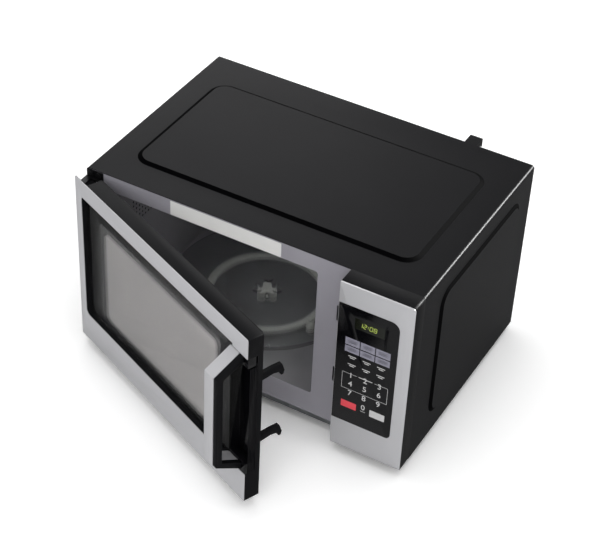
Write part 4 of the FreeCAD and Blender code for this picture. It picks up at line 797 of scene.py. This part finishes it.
def displayNumbers():
    low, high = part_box("display_lens")
    front, back = low.y - display["ink"] * mm, low.y - 0.002 * mm
    bm = bmesh.new()
    pen = display["left"]
    half = display["stroke"] / 2

    def slanted(spots):
        return [(low.x + (x + display["lean"] * z) * mm, low.z + (display["low"] + z) * mm) for x, z in spots]

    for mark in display["text"]:
        if mark == ":":
            for z in (display["high"] * 0.3, display["high"] * 0.68):
                addSlab(bm, slanted([(pen, z), (pen + 0.9, z), (pen + 0.9, z + 0.9), (pen, z + 0.9)]), front, back)
            pen += display["pitch"] * 0.5
            continue
        for name in numerals[mark]:
            (x0, z0), (x1, z1) = segments[name]
            x0, x1 = pen + x0 * display["wide"], pen + x1 * display["wide"]
            z0, z1 = z0 * display["high"], z1 * display["high"]
            if z0 == z1:
                outline = [(x0 + half * 1.3, z0 - half), (x1 - half * 1.3, z0 - half), (x1 - half * 1.3, z0 + half), (x0 + half * 1.3, z0 + half)]
            else:
                outline = [(x0 - half, z0 + half * 0.8), (x0 + half, z0 + half * 0.8), (x0 + half, z1 - half * 0.8), (x0 - half, z1 - half * 0.8)]
            addSlab(bm, slanted(outline), front, back)
        pen += display["pitch"]
    bmesh.ops.recalc_face_normals(bm, faces=bm.faces)
    addPiece("displayNumbers", meshOf("displayNumbers", bm), "glowingSegments", "cabinet")


displayNumbers()

strip = {"left": 126.7, "right": 288.7, "drop": 1.5, "high": 21.5, "radius": 0.8, "thick": 0.12}   # mm, on the front plate over the mouth


def blankStrip():  # a plain vinyl strip, left bare
    low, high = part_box("front_plate")
    top = high.z - strip["drop"] * mm
    outline = roundRect(low.x + strip["left"] * mm, low.x + strip["right"] * mm, top - strip["high"] * mm, top, [strip["radius"] * mm] * 4, 3)
    bm = bmesh.new()
    addSlab(bm, outline, low.y - strip["thick"] * mm, low.y - 0.002 * mm)
    bmesh.ops.recalc_face_normals(bm, faces=bm.faces)
    addPiece("blankStrip", meshOf("blankStrip", bm), "whiteVinyl", "cabinet")


blankStrip()
print("printing and display made")


# ---------- floor, light and camera ----------

studio = {  # metres, watts and strengths; a strength of 1 is white
    "floorSize": 12.0, "floorSeen": 1.24, "floorGloss": 0.35, "walls": 0.96, "glossLow": 1.0, "glossHigh": 0.26, "glossFrom": 0.05, "glossTo": 0.55,
    "lamps": {   # place, size, power, whether gloss and matt surfaces see it
        "overhead": ((-0.1, 0.1, 2.1), 1.5, 9.0, False, True),
        "front": ((0.5, -2.3, 1.5), 1.6, 18.0, False, True),
        "backRight": ((1.25, 1.35, 1.0), 0.45, 230.0, True, False),
        "cavity": ((-0.05, 0.06, 0.240), 0.07, 0.09, True, True),
        "backLeft": ((-1.3, 1.9, 1.35), 1.2, 14.0, True, False),
    },
}


def studioFloor():
    mesh = bpy.data.meshes.new("floor")
    half = studio["floorSize"] / 2
    mesh.from_pydata([(-half, -half, 0), (half, -half, 0), (half, half, 0), (-half, half, 0)], [], [(0, 1, 2, 3)])
    floor = bpy.data.objects.new("studioFloor", mesh)
    bpy.context.scene.collection.objects.link(floor)
    material, tree, shader, place = emptyMaterial("whitePaperSweep")
    rays = addNode(tree, "ShaderNodeLightPath")
    seen = addNode(tree, "ShaderNodeMath", {"operation": "MAXIMUM"}, {0: rays.outputs["Is Camera Ray"], 1: rays.outputs["Is Transmission Ray"]})
    matt = addNode(tree, "ShaderNodeMix", inputs={"Factor": rays.outputs["Is Glossy Ray"], "A": 0.9, "B": studio["floorGloss"]})
    paper = addNode(tree, "ShaderNodeMix", inputs={"Factor": seen.outputs[0], "A": matt.outputs[0], "B": studio["floorSeen"]})
    tree.links.new(paper.outputs[0], shader.inputs["Base Color"])
    shader.inputs["Roughness"].default_value = 1
    shader.inputs["Specular IOR Level"].default_value = 0
    mesh.materials.append(material)


def studioLight():
    world = bpy.data.worlds.new("studio")
    bpy.context.scene.world = world
    world.use_nodes = True
    tree = world.node_tree
    tree.nodes.clear()
    rays = addNode(tree, "ShaderNodeLightPath")
    direction = addNode(tree, "ShaderNodeTexCoord")
    height = addNode(tree, "ShaderNodeSeparateXYZ", inputs={0: direction.outputs["Generated"]})
    fade = addNode(tree, "ShaderNodeMapRange", inputs={   # gloss sees white walls under a dimmer ceiling
        "Value": height.outputs["Z"], "From Min": studio["glossFrom"], "From Max": studio["glossTo"],
        "To Min": studio["glossLow"], "To Max": studio["glossHigh"]})
    level = addNode(tree, "ShaderNodeMix", inputs={"Factor": rays.outputs["Is Glossy Ray"], "A": studio["walls"], "B": fade.outputs[0]})
    lamps = addNode(tree, "ShaderNodeBackground", inputs={"Strength": level.outputs[0]})
    white = addNode(tree, "ShaderNodeBackground", inputs={"Strength": 1.0})
    seen = addNode(tree, "ShaderNodeMath", {"operation": "MAXIMUM"},
                   {0: rays.outputs["Is Camera Ray"], 1: rays.outputs["Is Transmission Ray"]})
    mixed = addNode(tree, "ShaderNodeMixShader", inputs={0: seen.outputs[0], 1: lamps.outputs[0], 2: white.outputs[0]})
    addNode(tree, "ShaderNodeOutputWorld", inputs={"Surface": mixed.outputs[0]})
    for name, (place, size, power, inGloss, onMatt) in studio["lamps"].items():
        lamp = bpy.data.lights.new(name, "AREA")
        lamp.energy = power
        lamp.size = size
        box = bpy.data.objects.new(name, lamp)
        box.location = place
        box.rotation_euler = Vector(place).to_track_quat("Z", "Y").to_euler()
        box.visible_glossy = inGloss
        box.visible_diffuse = onMatt
        bpy.context.scene.collection.objects.link(box)


camera = {"location": (0.84756, -1.52890, 1.59272), "yaw": -27.88, "pitch": -39.24, "roll": 2.96, "lens": 104.03}


def studioCamera():
    yaw, pitch, roll = (math.radians(camera[name]) for name in ("yaw", "pitch", "roll"))
    ahead = Vector((math.sin(yaw) * math.cos(pitch), math.cos(yaw) * math.cos(pitch), math.sin(pitch)))
    right = ahead.cross(Vector((0, 0, 1))).normalized()
    up = right.cross(ahead)
    across = math.cos(roll) * right + math.sin(roll) * up
    upward = math.cos(roll) * up - math.sin(roll) * right
    lens = bpy.data.cameras.new("camera")
    lens.lens = camera["lens"]
    lens.sensor_width = 36
    eye = bpy.data.objects.new("camera", lens)
    turn = Matrix((across, upward, -ahead)).transposed().to_4x4()
    eye.matrix_world = Matrix.Translation(camera["location"]) @ turn
    bpy.context.scene.collection.objects.link(eye)
    bpy.context.scene.camera = eye


studioFloor()
studioLight()
studioCamera()
bpy.context.scene.view_settings.view_transform = "Standard"
print("studio set")
